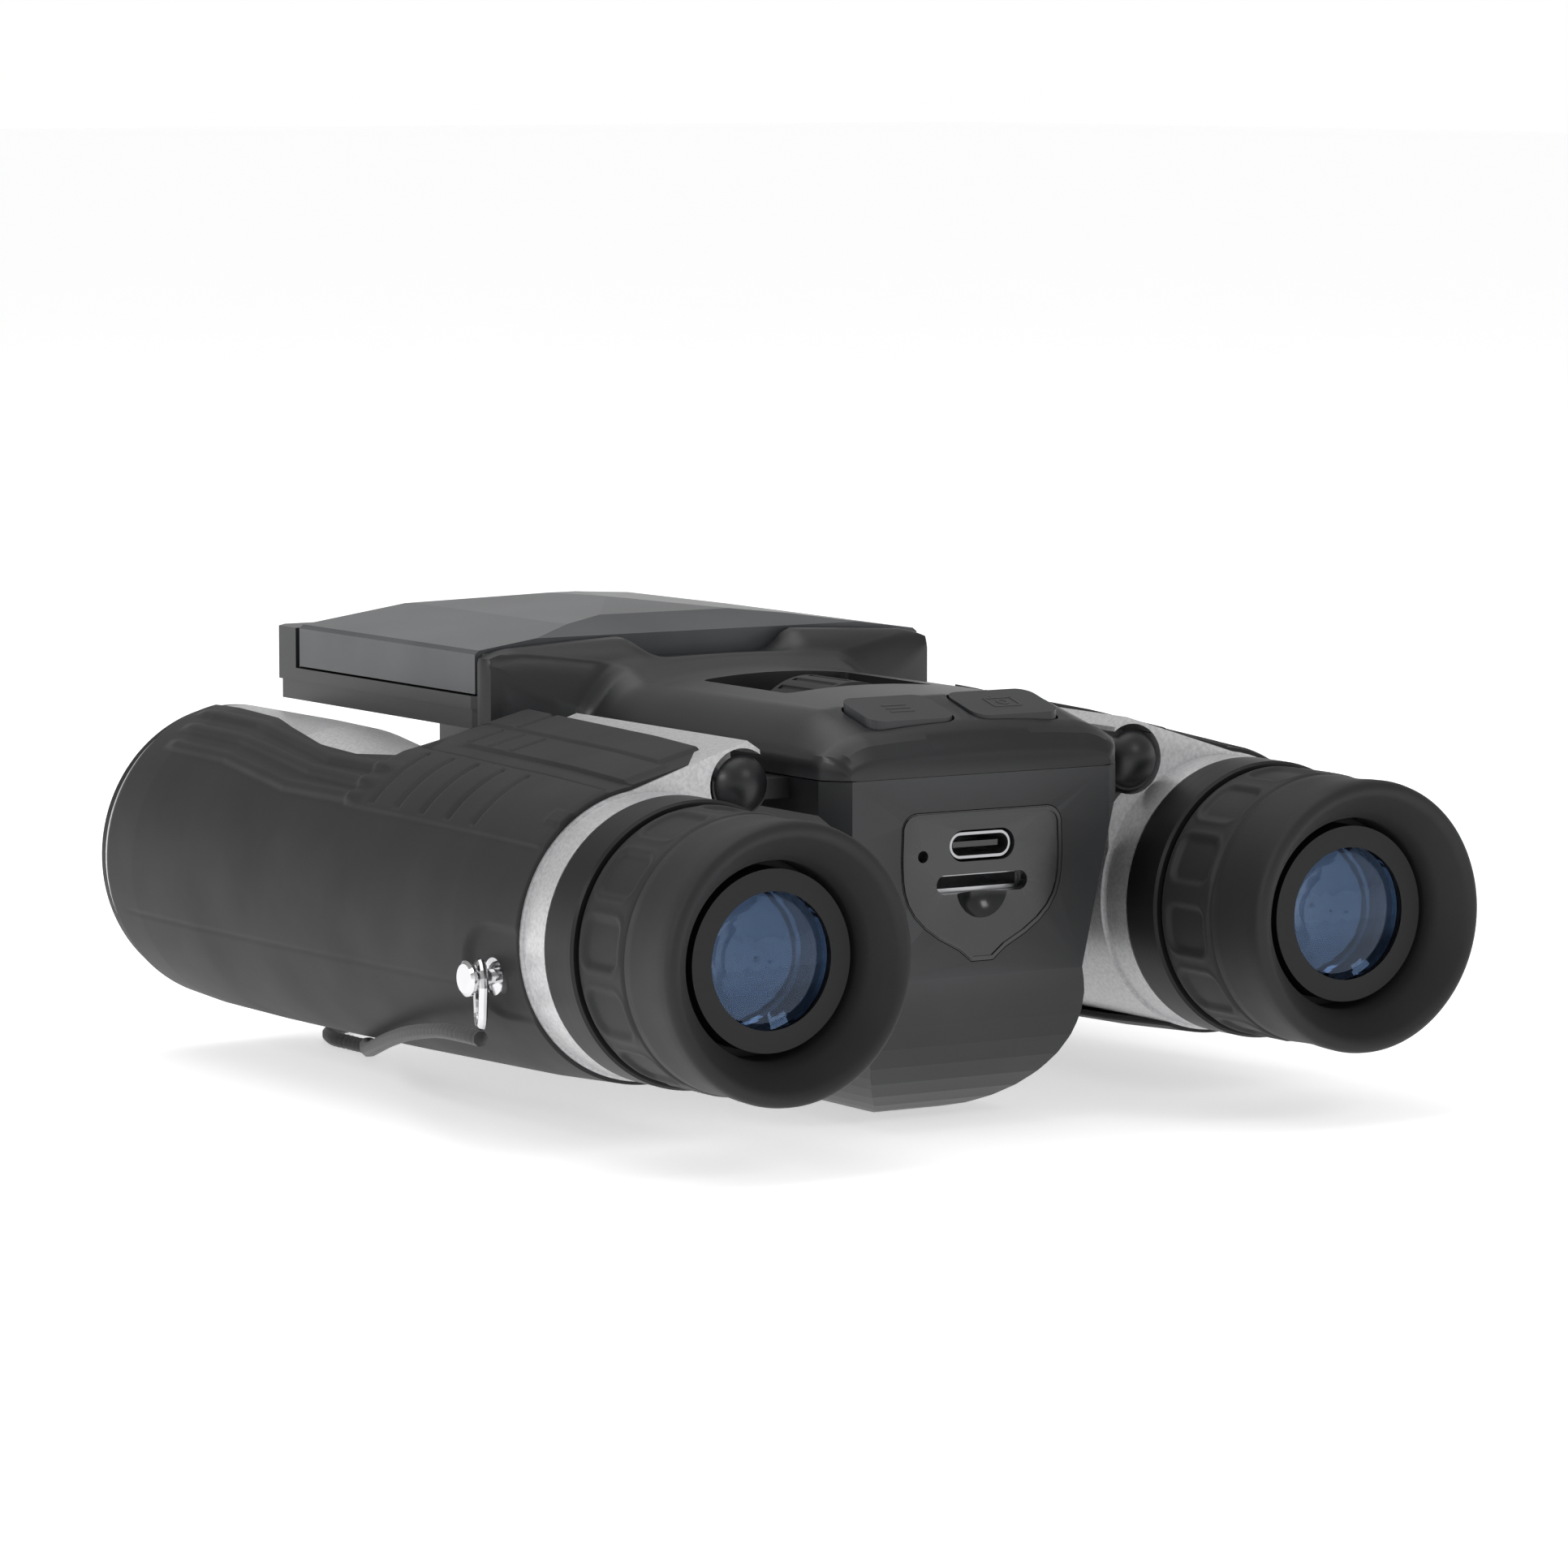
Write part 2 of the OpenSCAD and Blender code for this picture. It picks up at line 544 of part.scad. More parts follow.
// Outer radius of the silver tube along the barrel: [radius, y] points
tube_line = [[prism_r - 0.6, prism_end - 4], [prism_r - 0.9, prism_end + 3], [prism_r - 0.3, prism_end + 12],
    [objective_r - 0.2, prism_end + 24], [objective_r, prism_end + 34], [objective_r, objective_y - 1.6]];
module barrel_plate(y0, y1, d) {
    slab_y(y0, y1) polygon([[-ax - 7.2, axis_z + 16.2 - d], [-hinge_x + 0.8 - d, hinge_z + 5.4 - d],
        [-hinge_x + 2.6 - d, hinge_z + 4.2 - d], [-hinge_x + 3.6 - d, hinge_z - 4],
        [-ax + prism_r - 1.2 - d, axis_z + 6], [-ax, axis_z]]);
}
module left_housing() {
    color([0.72, 0.72, 0.73]) difference() {
        union() {
            bar_y(-ax, axis_z, seat_r, face_y + 4.6, prism_y + 1);
            bar_y(-ax, axis_z, prism_r, prism_y, prism_end);
            barrel_plate(prism_y, prism_end - 8, 0);
            turned_y(-ax, axis_z) polygon(concat([[0, prism_end - 4]], tube_line, [[0, objective_y - 1.6]]));
        }
        // prism chamber, eyepiece bore and light path
        bar_y(-ax, axis_z, prism_r - housing_wall - 1, prism_y + 4, prism_end - 6);
        bar_y(-ax, axis_z, 12.1, face_y, prism_end);
        bar_y(-ax, axis_z, 14.8, prism_end - 8, prism_end + 26);
        bar_y(-ax, axis_z, objective_lens_r + 0.1, prism_end + 25, objective_y);
        // room for the black hinge lugs and their arms
        for (y = [lug_y0, lug2_y0]) {
            bar_y(-hinge_x, hinge_z, lug_clear, y - 0.3 - (y == lug_y0 ? 1 : 0), y + lug_len + gap);
            slab_y(y - 0.3 - (y == lug_y0 ? 1 : 0), y + lug_len + gap) polygon([[-hinge_x,
                hinge_z + 1.2], [-hinge_x + 9, hinge_z + 1.2],
                [-hinge_x + 9, hinge_z - 12], [-hinge_x + 2, hinge_z - 4.6], [-hinge_x, hinge_z - 3]]);
        }
        slab_y(lug2_y0 - 0.3, prism_end) polygon([[-hinge_x - 4, hinge_z - 4.4], [-hinge_x - 4, hinge_z + 9],
            [-hinge_x + 9, hinge_z + 9], [-hinge_x + 9, hinge_z - 12], [-hinge_x + 2, hinge_z - 4.6]]);
        bar_y(-hinge_x, hinge_z, hinge_pin_r + fit, lug_y0, lug2_y0 + 1);
        // flat and hole for the strap post
        translate([-recess_x - 10, strap_y, strap_z]) rotate([0, 90, 0]) cylinder(r = 5.4, h = 10);
        translate([-recess_x - 1, strap_y, strap_z]) rotate([0, 90, 0]) cylinder(r = 1.5 + seam, h = 3);
    }
}
// [radius, y] line of the armour's outer face; its inner face sits on the silver housing
armour_y0 = prism_y + 0.4;
armour_y1 = objective_y - 4.2;
pad_h = sqrt(pow(prism_r + 0.1, 2) - 9);     // where the flat pad leaves the round tube
armour_outer = [[prism_r + armour_t - 0.7, armour_y0], [prism_r + armour_t, armour_y0 + 14],
    [prism_r + armour_t + 0.6, prism_end - 6],
    [objective_r + armour_t - 0.2, prism_end + 12], [objective_r + armour_t, prism_end + 30],
        [objective_r + 0.7, armour_y1]];
module left_armour() {
    color([0.17, 0.17, 0.17]) difference() {
        union() {
            translate([-ax, 0, axis_z]) rotate([-90, 0, 0]) rotate_extrude(angle = 196, start = 68)
                polygon(concat([[prism_r + seam, armour_y0]], armour_outer, [[objective_r + seam, armour_y1],
                    [objective_r + seam, prism_end + 34], [objective_r + seam, prism_end + 24],
                        [prism_r + seam, prism_end + 3]]));
            slab_y(armour_y0, prism_end - 9) polygon([[-ax - 3, axis_z + pad_h], [-hinge_x - 4,
                hinge_z + 3.2],
                [-hinge_x - 4.2, hinge_z + 4.2 + armour_t], [-ax - 3, axis_z + pad_h + armour_t - 0.1]]);
        }
        barrel_plate(armour_y0 - 1, prism_end, -seam);
        // recess round the strap post
        translate([-recess_x - 10, strap_y, strap_z]) rotate([0, 90, 0]) cylinder(r = 5.4, h = 14);
    }
}
module left_objective_ring() {
    color([0.06, 0.06, 0.06]) turned_y(-ax, axis_z) polygon([[objective_lens_r - 1.2, objective_y - 1.5],
        [objective_r, objective_y - 1.5], [objective_r, objective_y - 0.5], [objective_r - 0.5, objective_y],
        [objective_lens_r - 0.4, objective_y]]);
}
module left_objective_lens() { color([0.35, 0.3, 0.45, 0.6]) lens(-ax, axis_z, objective_y - 6,
    objective_lens_r, 3, 1); }
module left_focus_lens() {
    color([0.4, 0.45, 0.5, 0.6]) lens(-ax, axis_z, prism_end + 12, 13.6, 3, 0.6);
}
module left_prisms() {
    color([0.7, 0.8, 0.85, 0.5]) {
        slab_y(prism_y + 22, prism_y + 36) translate([-ax, axis_z]) square([17, 17], center = true);
        slab_x(-ax - 8.5, -ax + 8.5) polygon([[prism_y + 37, axis_z - 8.5], [prism_y + 37, axis_z + 8.5],
            [prism_y + 45, axis_z]]);
    }
}
module left_eyepiece_tube() {
    color([0.12, 0.12, 0.13]) turned_y(-ax, axis_z) polygon([[10, bezel_y + 5], [11.95, bezel_y + 5],
        [11.95, ring_y], [seat_r - 0.2, ring_y], [seat_r + 0.1, ring_y + 0.4], [seat_r + 0.1, face_y + 4.2],
        [seat_r - 0.2, face_y + 4.5], [11.95, face_y + 4.5], [11.95, prism_y + 18], [10, prism_y + 18]]);
}
module left_eyecup() {
    sleeve_end = ring_y - 0.2;
    color([0.16, 0.16, 0.16]) difference() {
        turned_y(-ax, axis_z) polygon([[bezel_r + 1.1, bezel_y - 0.4], [cup_mouth_r, rim_y + 0.6],
            [cup_mouth_r + 0.7, rim_y],
            [eyecup_r - 0.5, rim_y], [eyecup_r + 0.1, rim_y + 0.8], [eyecup_r - 0.3, rim_y + 5],
                [eyecup_r, rim_y + 9],
            [eyecup_r, sleeve_end - 0.4], [eyecup_r - 0.4, sleeve_end], [12, sleeve_end], [12,
                bezel_y + 6], [bezel_r + 1.1, bezel_y + 6]]);
        for (i = [0:grip_pads - 1]) translate([-ax, 0, axis_z]) rotate([0, i * 360 / grip_pads, 0])
            translate([-2.2, rim_y + 11.2, eyecup_r - 0.35]) cube([4.4, 6, 2]);
    }
}
module left_lens_bezel() {
    color([0.13, 0.13, 0.13]) turned_y(-ax, axis_z) polygon([[eye_lens_r - 0.3, bezel_y], [bezel_r, bezel_y],
        [bezel_r, bezel_y + 4.9], [eye_lens_r + 0.1, bezel_y + 4.9], [eye_lens_r + 0.1, bezel_y + 0.9]]);
}
module left_eye_lens() { color([0.2, 0.3, 0.4, 0.6]) lens(-ax, axis_z, bezel_y + 2.6, eye_lens_r, 2.4, 1); }
module left_strap_post() {
    color([0.8, 0.8, 0.82]) translate([-post_x, strap_y, strap_z]) rotate([0, 90, 0]) rotate_extrude()
        polygon([[0, -2.3], [1.8, -2.3], [2.2, -2], [2.2, -1.6], [neck_r, -1.4], [neck_r, 1.6], [2.3, 1.8],
            [2.3, post_x - recess_x - seam], [1.5, post_x - recess_x], [1.5, post_x - recess_x + 1.8],
            [0, post_x - recess_x + 1.8]]);
}
// Centre line of the strap ring: a pear-shaped loop that hangs round the post's neck
ring_top = neck_r + ring_wire / 2 + 0.15;
ring_path = concat(arc(0, ring_top - 2.6, 2.6, 2.6, 0, 180, 9), arc(0, ring_top - ring_h + 1.9, 1.9, 1.9,
    180, 360, 9));
// A round bar along a line of points: closed into a loop, or with flat ends. No stretch runs along up.
module swept(path, r, sides, loop = false, up = [0, 0.03, 1]) {
    n = len(path);
    pts = [for (i = [0:n - 1]) let (
            a = path[loop ? (i + n - 1) % n : max(i - 1, 0)], b = path[loop ? (i + 1) % n : min(i + 1,
                n - 1)],
            t = (b - a) / norm(b - a), side = cross(t, up), u = side / norm(side), v = cross(u, t))
        each [for (k = [0:sides - 1]) path[i] + r * (cos(360 * k / sides) * u + sin(360 * k / sides) * v)]];
    walls = [for (i = [0:(loop ? n - 1 : n - 2)], k = [0:sides - 1]) let (j = (i + 1) % n,
        m = (k + 1) % sides)
        [i * sides + k, i * sides + m, j * sides + m, j * sides + k]];
    caps = loop ? [] : [[for (k = [sides - 1:-1:0]) k], [for (k = [0:sides - 1]) (n - 1) * sides + k]];
    polyhedron(pts, concat(walls, caps), convexity = 4);
}
module left_strap_ring() {
    color([0.8, 0.8, 0.82]) translate([-post_x, strap_y, strap_z]) rotate(-21)
        swept([for (p = ring_path) [0, p[0], p[1]]], ring_wire / 2, 10, true, [1, 0, 0]);
}
module left_cord_lead() { color([0.07, 0.07, 0.07]) swept(lead_points, cord_d / 2, 8); }
module left_cord_run() { color([0.07, 0.07, 0.07]) swept(left_run_points, cord_d / 2, 8); }
module right_cord_run() { color([0.07, 0.07, 0.07]) swept(right_run_points, cord_d / 2, 8); }
module cord_coil() {
    color([0.08, 0.08, 0.08]) translate([0, 78, 0]) rotate_extrude()
        translate([coil_r - cord_d, 0]) square([2 * cord_d, 4 * cord_d]);
}

lower_housing();
top_shell();
screen_tray();
tray_underside();
port_panel();
usb_shell();
usb_tongue();
card_socket();
main_board();
battery_cell();
camera_tube();
camera_lens();
image_sensor();
tripod_insert();
hinge_pins();
hinge_caps();
tray_screws();
focus_axle();
focus_wheel();
focus_carriage();
deck_button(-1);  // menu_button
deck_button(1);  // shutter_button
key(key_xs[0]);  // power_key
key(key_xs[1]);  // up_key
key(key_xs[2]);  // down_key
key(key_xs[3]);  // ok_key
lid_cover();
display_frame();
display_panel();
display_window();
lid_hinge_pin();
left_housing();
left_armour();
left_objective_ring();
left_objective_lens();
left_prisms();
left_focus_lens();
left_eyepiece_tube();
left_eyecup();
left_lens_bezel();
left_eye_lens();
left_strap_post();
left_strap_ring();
right_side() left_housing();  // right_housing
right_side() left_armour();  // right_armour
right_side() left_objective_ring();  // right_objective_ring
right_side() left_objective_lens();  // right_objective_lens
right_side() left_prisms();  // right_prisms
right_side() left_focus_lens();  // right_focus_lens
right_side() left_eyepiece_tube();  // right_eyepiece_tube
right_side() left_eyecup();  // right_eyecup
right_side() left_lens_bezel();  // right_lens_bezel
right_side() left_eye_lens();  // right_eye_lens
right_side() left_strap_post();  // right_strap_post
right_side() left_strap_ring();  // right_strap_ring
left_cord_lead();
left_cord_run();
cord_coil();
right_cord_run();
right_side() left_cord_lead();  // right_cord_lead
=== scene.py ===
import json
import math
import bmesh
import bpy
from mathutils import Matrix, Vector


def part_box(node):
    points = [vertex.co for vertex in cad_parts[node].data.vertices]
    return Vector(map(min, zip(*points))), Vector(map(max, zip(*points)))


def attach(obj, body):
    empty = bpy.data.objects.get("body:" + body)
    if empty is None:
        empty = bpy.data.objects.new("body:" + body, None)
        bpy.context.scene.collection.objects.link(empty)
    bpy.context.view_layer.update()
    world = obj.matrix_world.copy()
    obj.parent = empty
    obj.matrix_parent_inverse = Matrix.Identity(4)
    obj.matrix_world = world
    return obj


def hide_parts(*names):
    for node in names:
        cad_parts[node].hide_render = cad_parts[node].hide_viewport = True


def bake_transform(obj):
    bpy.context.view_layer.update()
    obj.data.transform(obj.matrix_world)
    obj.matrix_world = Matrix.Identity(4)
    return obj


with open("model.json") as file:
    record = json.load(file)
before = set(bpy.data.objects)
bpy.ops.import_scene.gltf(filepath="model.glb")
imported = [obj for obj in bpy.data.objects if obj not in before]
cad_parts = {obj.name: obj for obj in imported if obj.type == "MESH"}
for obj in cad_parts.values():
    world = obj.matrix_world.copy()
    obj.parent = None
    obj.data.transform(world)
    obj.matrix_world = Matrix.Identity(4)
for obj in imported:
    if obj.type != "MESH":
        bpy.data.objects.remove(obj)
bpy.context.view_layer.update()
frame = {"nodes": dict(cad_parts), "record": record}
mm = 0.001

# Colours, sRGB hex
colours = {
    "satinAbs": "#1e1f21", "satinAbsDark": "#151617", "rubber": "#232324", "rubberDeep": "#18181a",
    # The two lid greys are painted reflection: black ABS drawn lighter for the bright surroundings the lid
    # top reflects
    "silver": "#d3d3d4", "silverShade": "#a9a9ab", "gloss": "#161718", "lidPaintedReflection": "#47494c",
    "lidPaintedReflectionDark": "#36383b", "anodised": "#1d1d1e",
    # Lens colours: painted blue reflection at the rim, painted shade at the centre
    "lensRimPaintedReflection": "#1f3a58", "lensCentrePaintedShade": "#03070d", "chrome": "#e4e4e6", "steel": "#bdbec0",
    "brass": "#c9a45c", "board": "#15522f", "battery": "#2d4f86", "cord": "#1b1b1c", "cordLight": "#343436",
    "floor": "#fbfbfb", "mark": "#6b6d70",
}

# Sizes read from the frame, all in millimetres
def low(node, axis):
    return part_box(node)[0][axis] / mm

def high(node, axis):
    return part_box(node)[1][axis] / mm

faceY = low("lower_housing", 1)
seamZ = high("lower_housing", 2)
axisX = (high("right_objective_ring", 0) + low("right_objective_ring", 0)) / 2
axisZ = (high("right_objective_ring", 2) + low("right_objective_ring", 2)) / 2
trayY = low("screen_tray", 1)
trayHalf = high("screen_tray", 0)
bodyHalf = high("top_shell", 0)
eyeRim = low("left_eyecup", 1)
postY = (low("left_strap_post", 1) + high("left_strap_post", 1)) / 2
postZ = (low("left_strap_post", 2) + high("left_strap_post", 2)) / 2

# Straight-line table look-up, held at both ends
def interp(table, t):
    if t <= table[0][0]:
        return table[0][1]
    for (a, va), (b, vb) in zip(table, table[1:]):
        if t <= b:
            u = (t - a) / (b - a)
            return va + (vb - va) * u
    return table[-1][1]

def smooth(a, b, t):
    u = min(1, max(0, (t - a) / (b - a)))
    return u * u * (3 - 2 * u)

# 1 between a and b, falling to 0 over edge on either side
def window(a, b, edge, t):
    return smooth(a - edge, a, t) * (1 - smooth(b, b + edge, t))

def bump(at, width, t):
    return math.exp(-((t - at) / width) ** 2)

def newObject(name, verts, faces, shade=True):
    mesh = bpy.data.meshes.new(name)
    mesh.from_pydata([(x * mm, y * mm, z * mm) for x, y, z in verts], [], faces)
    edit = bmesh.new()
    edit.from_mesh(mesh)
    bmesh.ops.remove_doubles(edit, verts=edit.verts, dist=1e-7)
    bmesh.ops.recalc_face_normals(edit, faces=edit.faces)
    edit.to_mesh(mesh)
    edit.free()
    mesh.polygons.foreach_set("use_smooth", [shade] * len(mesh.polygons))
    obj = bpy.data.objects.new(name, mesh)
    bpy.context.scene.collection.objects.link(obj)
    return obj

def gridFaces(rows, cols, wrapRows=False, wrapCols=False, start=0):
    faces = []
    for i in range(rows if wrapRows else rows - 1):
        for j in range(cols if wrapCols else cols - 1):
            a, b = i * cols, (i + 1) % rows * cols
            k = (j + 1) % cols
            faces.append((start + a + j, start + a + k, start + b + k, start + b + j))
    return faces

def grid(name, rows, wrapRows=False, wrapCols=False, caps=False):
    count, width = len(rows), len(rows[0])
    faces = gridFaces(count, width, wrapRows, wrapCols)
    if caps:
        faces += [tuple(range(width)), tuple((count - 1) * width + j for j in range(width))]
    return newObject(name, [p for row in rows for p in row], faces)

# Closes an outer and an inner grid of the same size into one thin solid
def shell(name, outer, inner):
    rows, cols = len(outer), len(outer[0])
    verts = [p for row in outer for p in row] + [p for row in inner for p in row]
    back = rows * cols
    faces = gridFaces(rows, cols) + gridFaces(rows, cols, start=back)
    for j in range(cols - 1):
        for i in (0, (rows - 1) * cols):
            faces.append((i + j, i + j + 1, back + i + j + 1, back + i + j))
    for i in range(rows - 1):
        for j in (0, cols - 1):
            faces.append((i * cols + j, (i + 1) * cols + j, back + (i + 1) * cols + j, back + i * cols + j))
    return newObject(name, verts, faces)

# Turns a closed [radius, y] profile about the Y line through centre
def lathe(name, centre, profile, turns=96, relief=None):
    rows = []
    for i in range(turns):
        a = 2 * math.pi * i / turns
        row = []
        for r, y in profile:
            d = relief(a, r, y) if relief else 0
            row.append((centre[0] + (r + d) * math.cos(a), y, centre[1] + (r + d) * math.sin(a)))
        rows.append(row)
    return grid(name, rows, wrapRows=True, wrapCols=True)

def mirrored(obj, name):
    copy = obj.copy()
    copy.data = obj.data.copy()
    copy.name = name
    copy.data.transform(Matrix.Scale(-1, 4, (1, 0, 0)))
    copy.data.flip_normals()
    bpy.context.scene.collection.objects.link(copy)
    return copy

def bevel(obj, width, segments=2, angle=35):
    mod = obj.modifiers.new("edges", "BEVEL")
    mod.width = width * mm
    mod.segments = segments
    mod.limit_method = "ANGLE"
    mod.angle_limit = math.radians(angle)
    mod.harden_normals = True
    return mod

def cut(obj, *cutters):
    for cutter in cutters:
        mod = obj.modifiers.new("cut", "BOOLEAN")
        mod.object = cutter
        mod.solver = "EXACT"
    graph = bpy.context.evaluated_depsgraph_get()
    mesh = bpy.data.meshes.new_from_object(obj.evaluated_get(graph))
    obj.modifiers.clear()
    obj.data = mesh
    for cutter in cutters:
        bpy.data.objects.remove(cutter)
    return obj

def prism(name, outline, z0, z1):
    n = len(outline)
    verts = [(x, y, z0) for x, y in outline] + [(x, y, z1) for x, y in outline]
    faces = [tuple(range(n))[::-1], tuple(range(n, 2 * n))]
    faces += [(i, (i + 1) % n, n + (i + 1) % n, n + i) for i in range(n)]
    return newObject(name, verts, faces, shade=False)

def roundedRect(cx, cy, w, l, r, steps=6):
    points = []
    for quarter, (sx, sy) in enumerate(((1, 1), (-1, 1), (-1, -1), (1, -1))):
        for i in range(steps + 1):
            a = math.radians(90 * (quarter + i / steps))
            points.append((cx + sx * (w / 2 - r) + r * math.cos(a),
                cy + sy * (l / 2 - r) + r * math.sin(a)))
    return points

shot = {"lens": 159.24, "sensor": 36, "from": (-0.4714, -0.7565, 0.1338),
    "along": (0.52754, 0.84285, -0.10637)}

def makeCamera():
    data = bpy.data.cameras.new("camera")
    data.lens = shot["lens"]
    data.sensor_width = shot["sensor"]
    data.clip_start = 0.01
    camera = bpy.data.objects.new("camera", data)
    camera.location = shot["from"]
    camera.rotation_euler = Vector(shot["along"]).to_track_quat("-Z", "Y").to_euler()
    bpy.context.scene.collection.objects.link(camera)
    bpy.context.scene.camera = camera

def areaLight(name, at, aim, size, power, tall=None, tint=(1, 1, 1)):
    data = bpy.data.lights.new(name, "AREA")
    data.energy = power
    data.color = tint
    data.size = size
    if tall:
        data.shape = "RECTANGLE"
        data.size_y = tall
    lamp = bpy.data.objects.new(name, data)
    lamp.location = at
    lamp.rotation_euler = (Vector(aim) - Vector(at)).to_track_quat("-Z", "Y").to_euler()
    bpy.context.scene.collection.objects.link(lamp)

makeCamera()
print("camera set")

cordSize = {"diameter": 2.0, "coilMid": 11.0, "coilAt": (0, 78), "turns": 6.5, "spacing": 0.45,
    "strands": 4, "strandPitch": 2.6, "relief": 0.06}

# Route of the neck cord: ring to coil, then coil to the other ring
leadPoints = [(-62, -33.4, 14), (-62, -29, 14), (-61.4, -22, 13.6), (-59.8, -12, 12), (-57.2, -2, 9.8),
    (-53.8, 8, 7.4), (-49.4, 18, 5.4), (-44.8, 27, 4.4), (-40.8, 34, 3.4), (-37, 40, 2.2),
    (-34.4, 45, 1.2), (-34, 49, 1), (-34, 52, 1)]
leftRunPoints = [(-34, 52, 1), (-34, 56, 1), (-32, 61, 1), (-28, 65, 1), (-23, 68, 1), (-18, 71, 1),
    (-14, 74.6, 1), (-12.2, 78, 1)]
rightRunPoints = [(12.2, 78, 7), (13.4, 73, 6.4), (17, 69, 4.6), (22, 66.4, 2.4), (27, 64, 1.2),
    (32, 60, 1), (34, 56, 1), (34, 52, 1)]

def curveThrough(points, spacing):
    line = []
    for i in range(len(points) - 1):
        p = [Vector(points[max(0, min(len(points) - 1, i + k))]) for k in (-1, 0, 1, 2)]
        steps = max(2, round((p[2] - p[1]).length / spacing))
        for s in range(steps):
            t = s / steps
            line.append(0.5 * (2 * p[1] + (p[2] - p[0]) * t + (2 * p[0] - 5 * p[1] + 4 * p[2] - p[3]) * t * t
                + (3 * p[1] - p[0] - 3 * p[2] + p[3]) * t ** 3))
    line.append(Vector(points[-1]))
    return line

# Turns two wide and four high: each stage keeps a radius and a level, then steps to the next
def coilLine(spacing):
    half = cordSize["diameter"] / 2
    mid = cordSize["coilMid"]
    radii = [mid + half, mid - half, mid - half, mid + half] * 2 + [mid + half]
    levels = [half + cordSize["diameter"] * (i // 2) for i in range(8)] + [half * 7]
    turns, stage, line = cordSize["turns"], 0.8, []
    count = round(turns * 2 * math.pi * mid / spacing)
    for i in range(1, count):
        t = turns * i / count
        k = min(7, int(t / stage))
        u = smooth(0.75, 1, t / stage - k)
        r = radii[k] + (radii[k + 1] - radii[k]) * u
        z = levels[k] + (levels[k + 1] - levels[k]) * u
        a = math.pi - 2 * math.pi * t
        atX, atY = cordSize["coilAt"]
        line.append(Vector((atX + r * math.cos(a), atY + r * math.sin(a), z)))
    return line

# A round braid: two sets of strands cross as a diamond relief over the tube
def braid(name, line, sides=16):
    radius = cordSize["diameter"] / 2
    rows, up, run = [], Vector((0.03, 0, 1)), 0
    for i, p in enumerate(line):
        t = (line[min(i + 1, len(line) - 1)] - line[max(i - 1, 0)]).normalized()
        side = t.cross(up).normalized()
        up = side.cross(t)
        run += (p - line[i - 1]).length if i else 0
        row = []
        for k in range(sides):
            a = 2 * math.pi * k / sides
            turn, climb = cordSize["strands"] * a, run * cordSize["strandPitch"]
            wave = math.sin(turn + climb) * math.sin(turn - climb)
            swell = radius * (1 - cordSize["relief"] + cordSize["relief"] * wave)
            q = p + swell * (math.cos(a) * side + math.sin(a) * up)
            row.append(tuple(q))
        rows.append(row)
    return grid(name, rows, wrapCols=True, caps=True)

def makeCords():
    spacing = cordSize["spacing"]
    coil = coilLine(spacing)
    line = curveThrough(leadPoints, spacing)[:-1]
    line += curveThrough(leftRunPoints[:-1] + [tuple(coil[0])], spacing)[:-1]
    line += coil + curveThrough([tuple(coil[-1])] + rightRunPoints[1:], spacing)[1:]
    neck = braid("neckCord", line)
    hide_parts("left_cord_lead", "left_cord_run", "cord_coil", "right_cord_run")
    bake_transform(neck)
    right = curveThrough([(-x, y, z) for x, y, z in leadPoints], spacing)
    lead = braid("rightCordLead", right)
    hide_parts("right_cord_lead")
    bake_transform(lead)
    return [neck, lead]

cords = makeCords()
print("cords laid")

# An sRGB hex colour as linear red, green, blue and alpha
def srgb(key):
    code = colours[key].lstrip("#")
    values = [int(code[i:i + 2], 16) / 255 for i in (0, 2, 4)]
    return tuple(v / 12.92 if v <= 0.04045 else ((v + 0.055) / 1.055) ** 2.4 for v in values) + (1,)

# Adds a node with its settings, and links or values for its inputs
def addNode(tree, kind, settings=None, **inputs):
    item = tree.nodes.new("ShaderNode" + kind)
    for key, value in (settings or {}).items():
        setattr(item, key, value)
    for key, value in inputs.items():
        byNumber = key[0] == "i" and key[1:].isdigit()
        socket = item.inputs[int(key[1:]) if byNumber else key.replace("_", " ")]
        if isinstance(value, bpy.types.NodeSocket):
            tree.links.new(value, socket)
        else:
            socket.default_value = value
    return item

def ramp(tree, source, stops):
    item = addNode(tree, "ValToRGB", Fac=source)
    for i, (at, colour) in enumerate(stops):
        stop = item.color_ramp.elements[i] if i < 2 else item.color_ramp.elements.new(at)
        stop.position = at
        stop.color = colour if isinstance(colour, tuple) else (colour, colour, colour, 1)
    return item.outputs["Color"]

def material(name):
    mat = bpy.data.materials.new(name)
    mat.use_nodes = True
    tree = mat.node_tree
    return mat, tree, tree.nodes["Principled BSDF"]

def setInputs(tree, shader, **inputs):
    for key, value in inputs.items():
        socket = shader.inputs[key.replace("_", " ")]
        if isinstance(value, bpy.types.NodeSocket):
            tree.links.new(value, socket)
        else:
            socket.default_value = value

# Noise whose features are about size millimetres across
def noiseOf(tree, place, size, detail=3, rough=0.5):
    noise = addNode(tree, "TexNoise", Vector=place, Scale=1 / (size * mm), Detail=detail, Roughness=rough)
    return noise.outputs["Fac"]

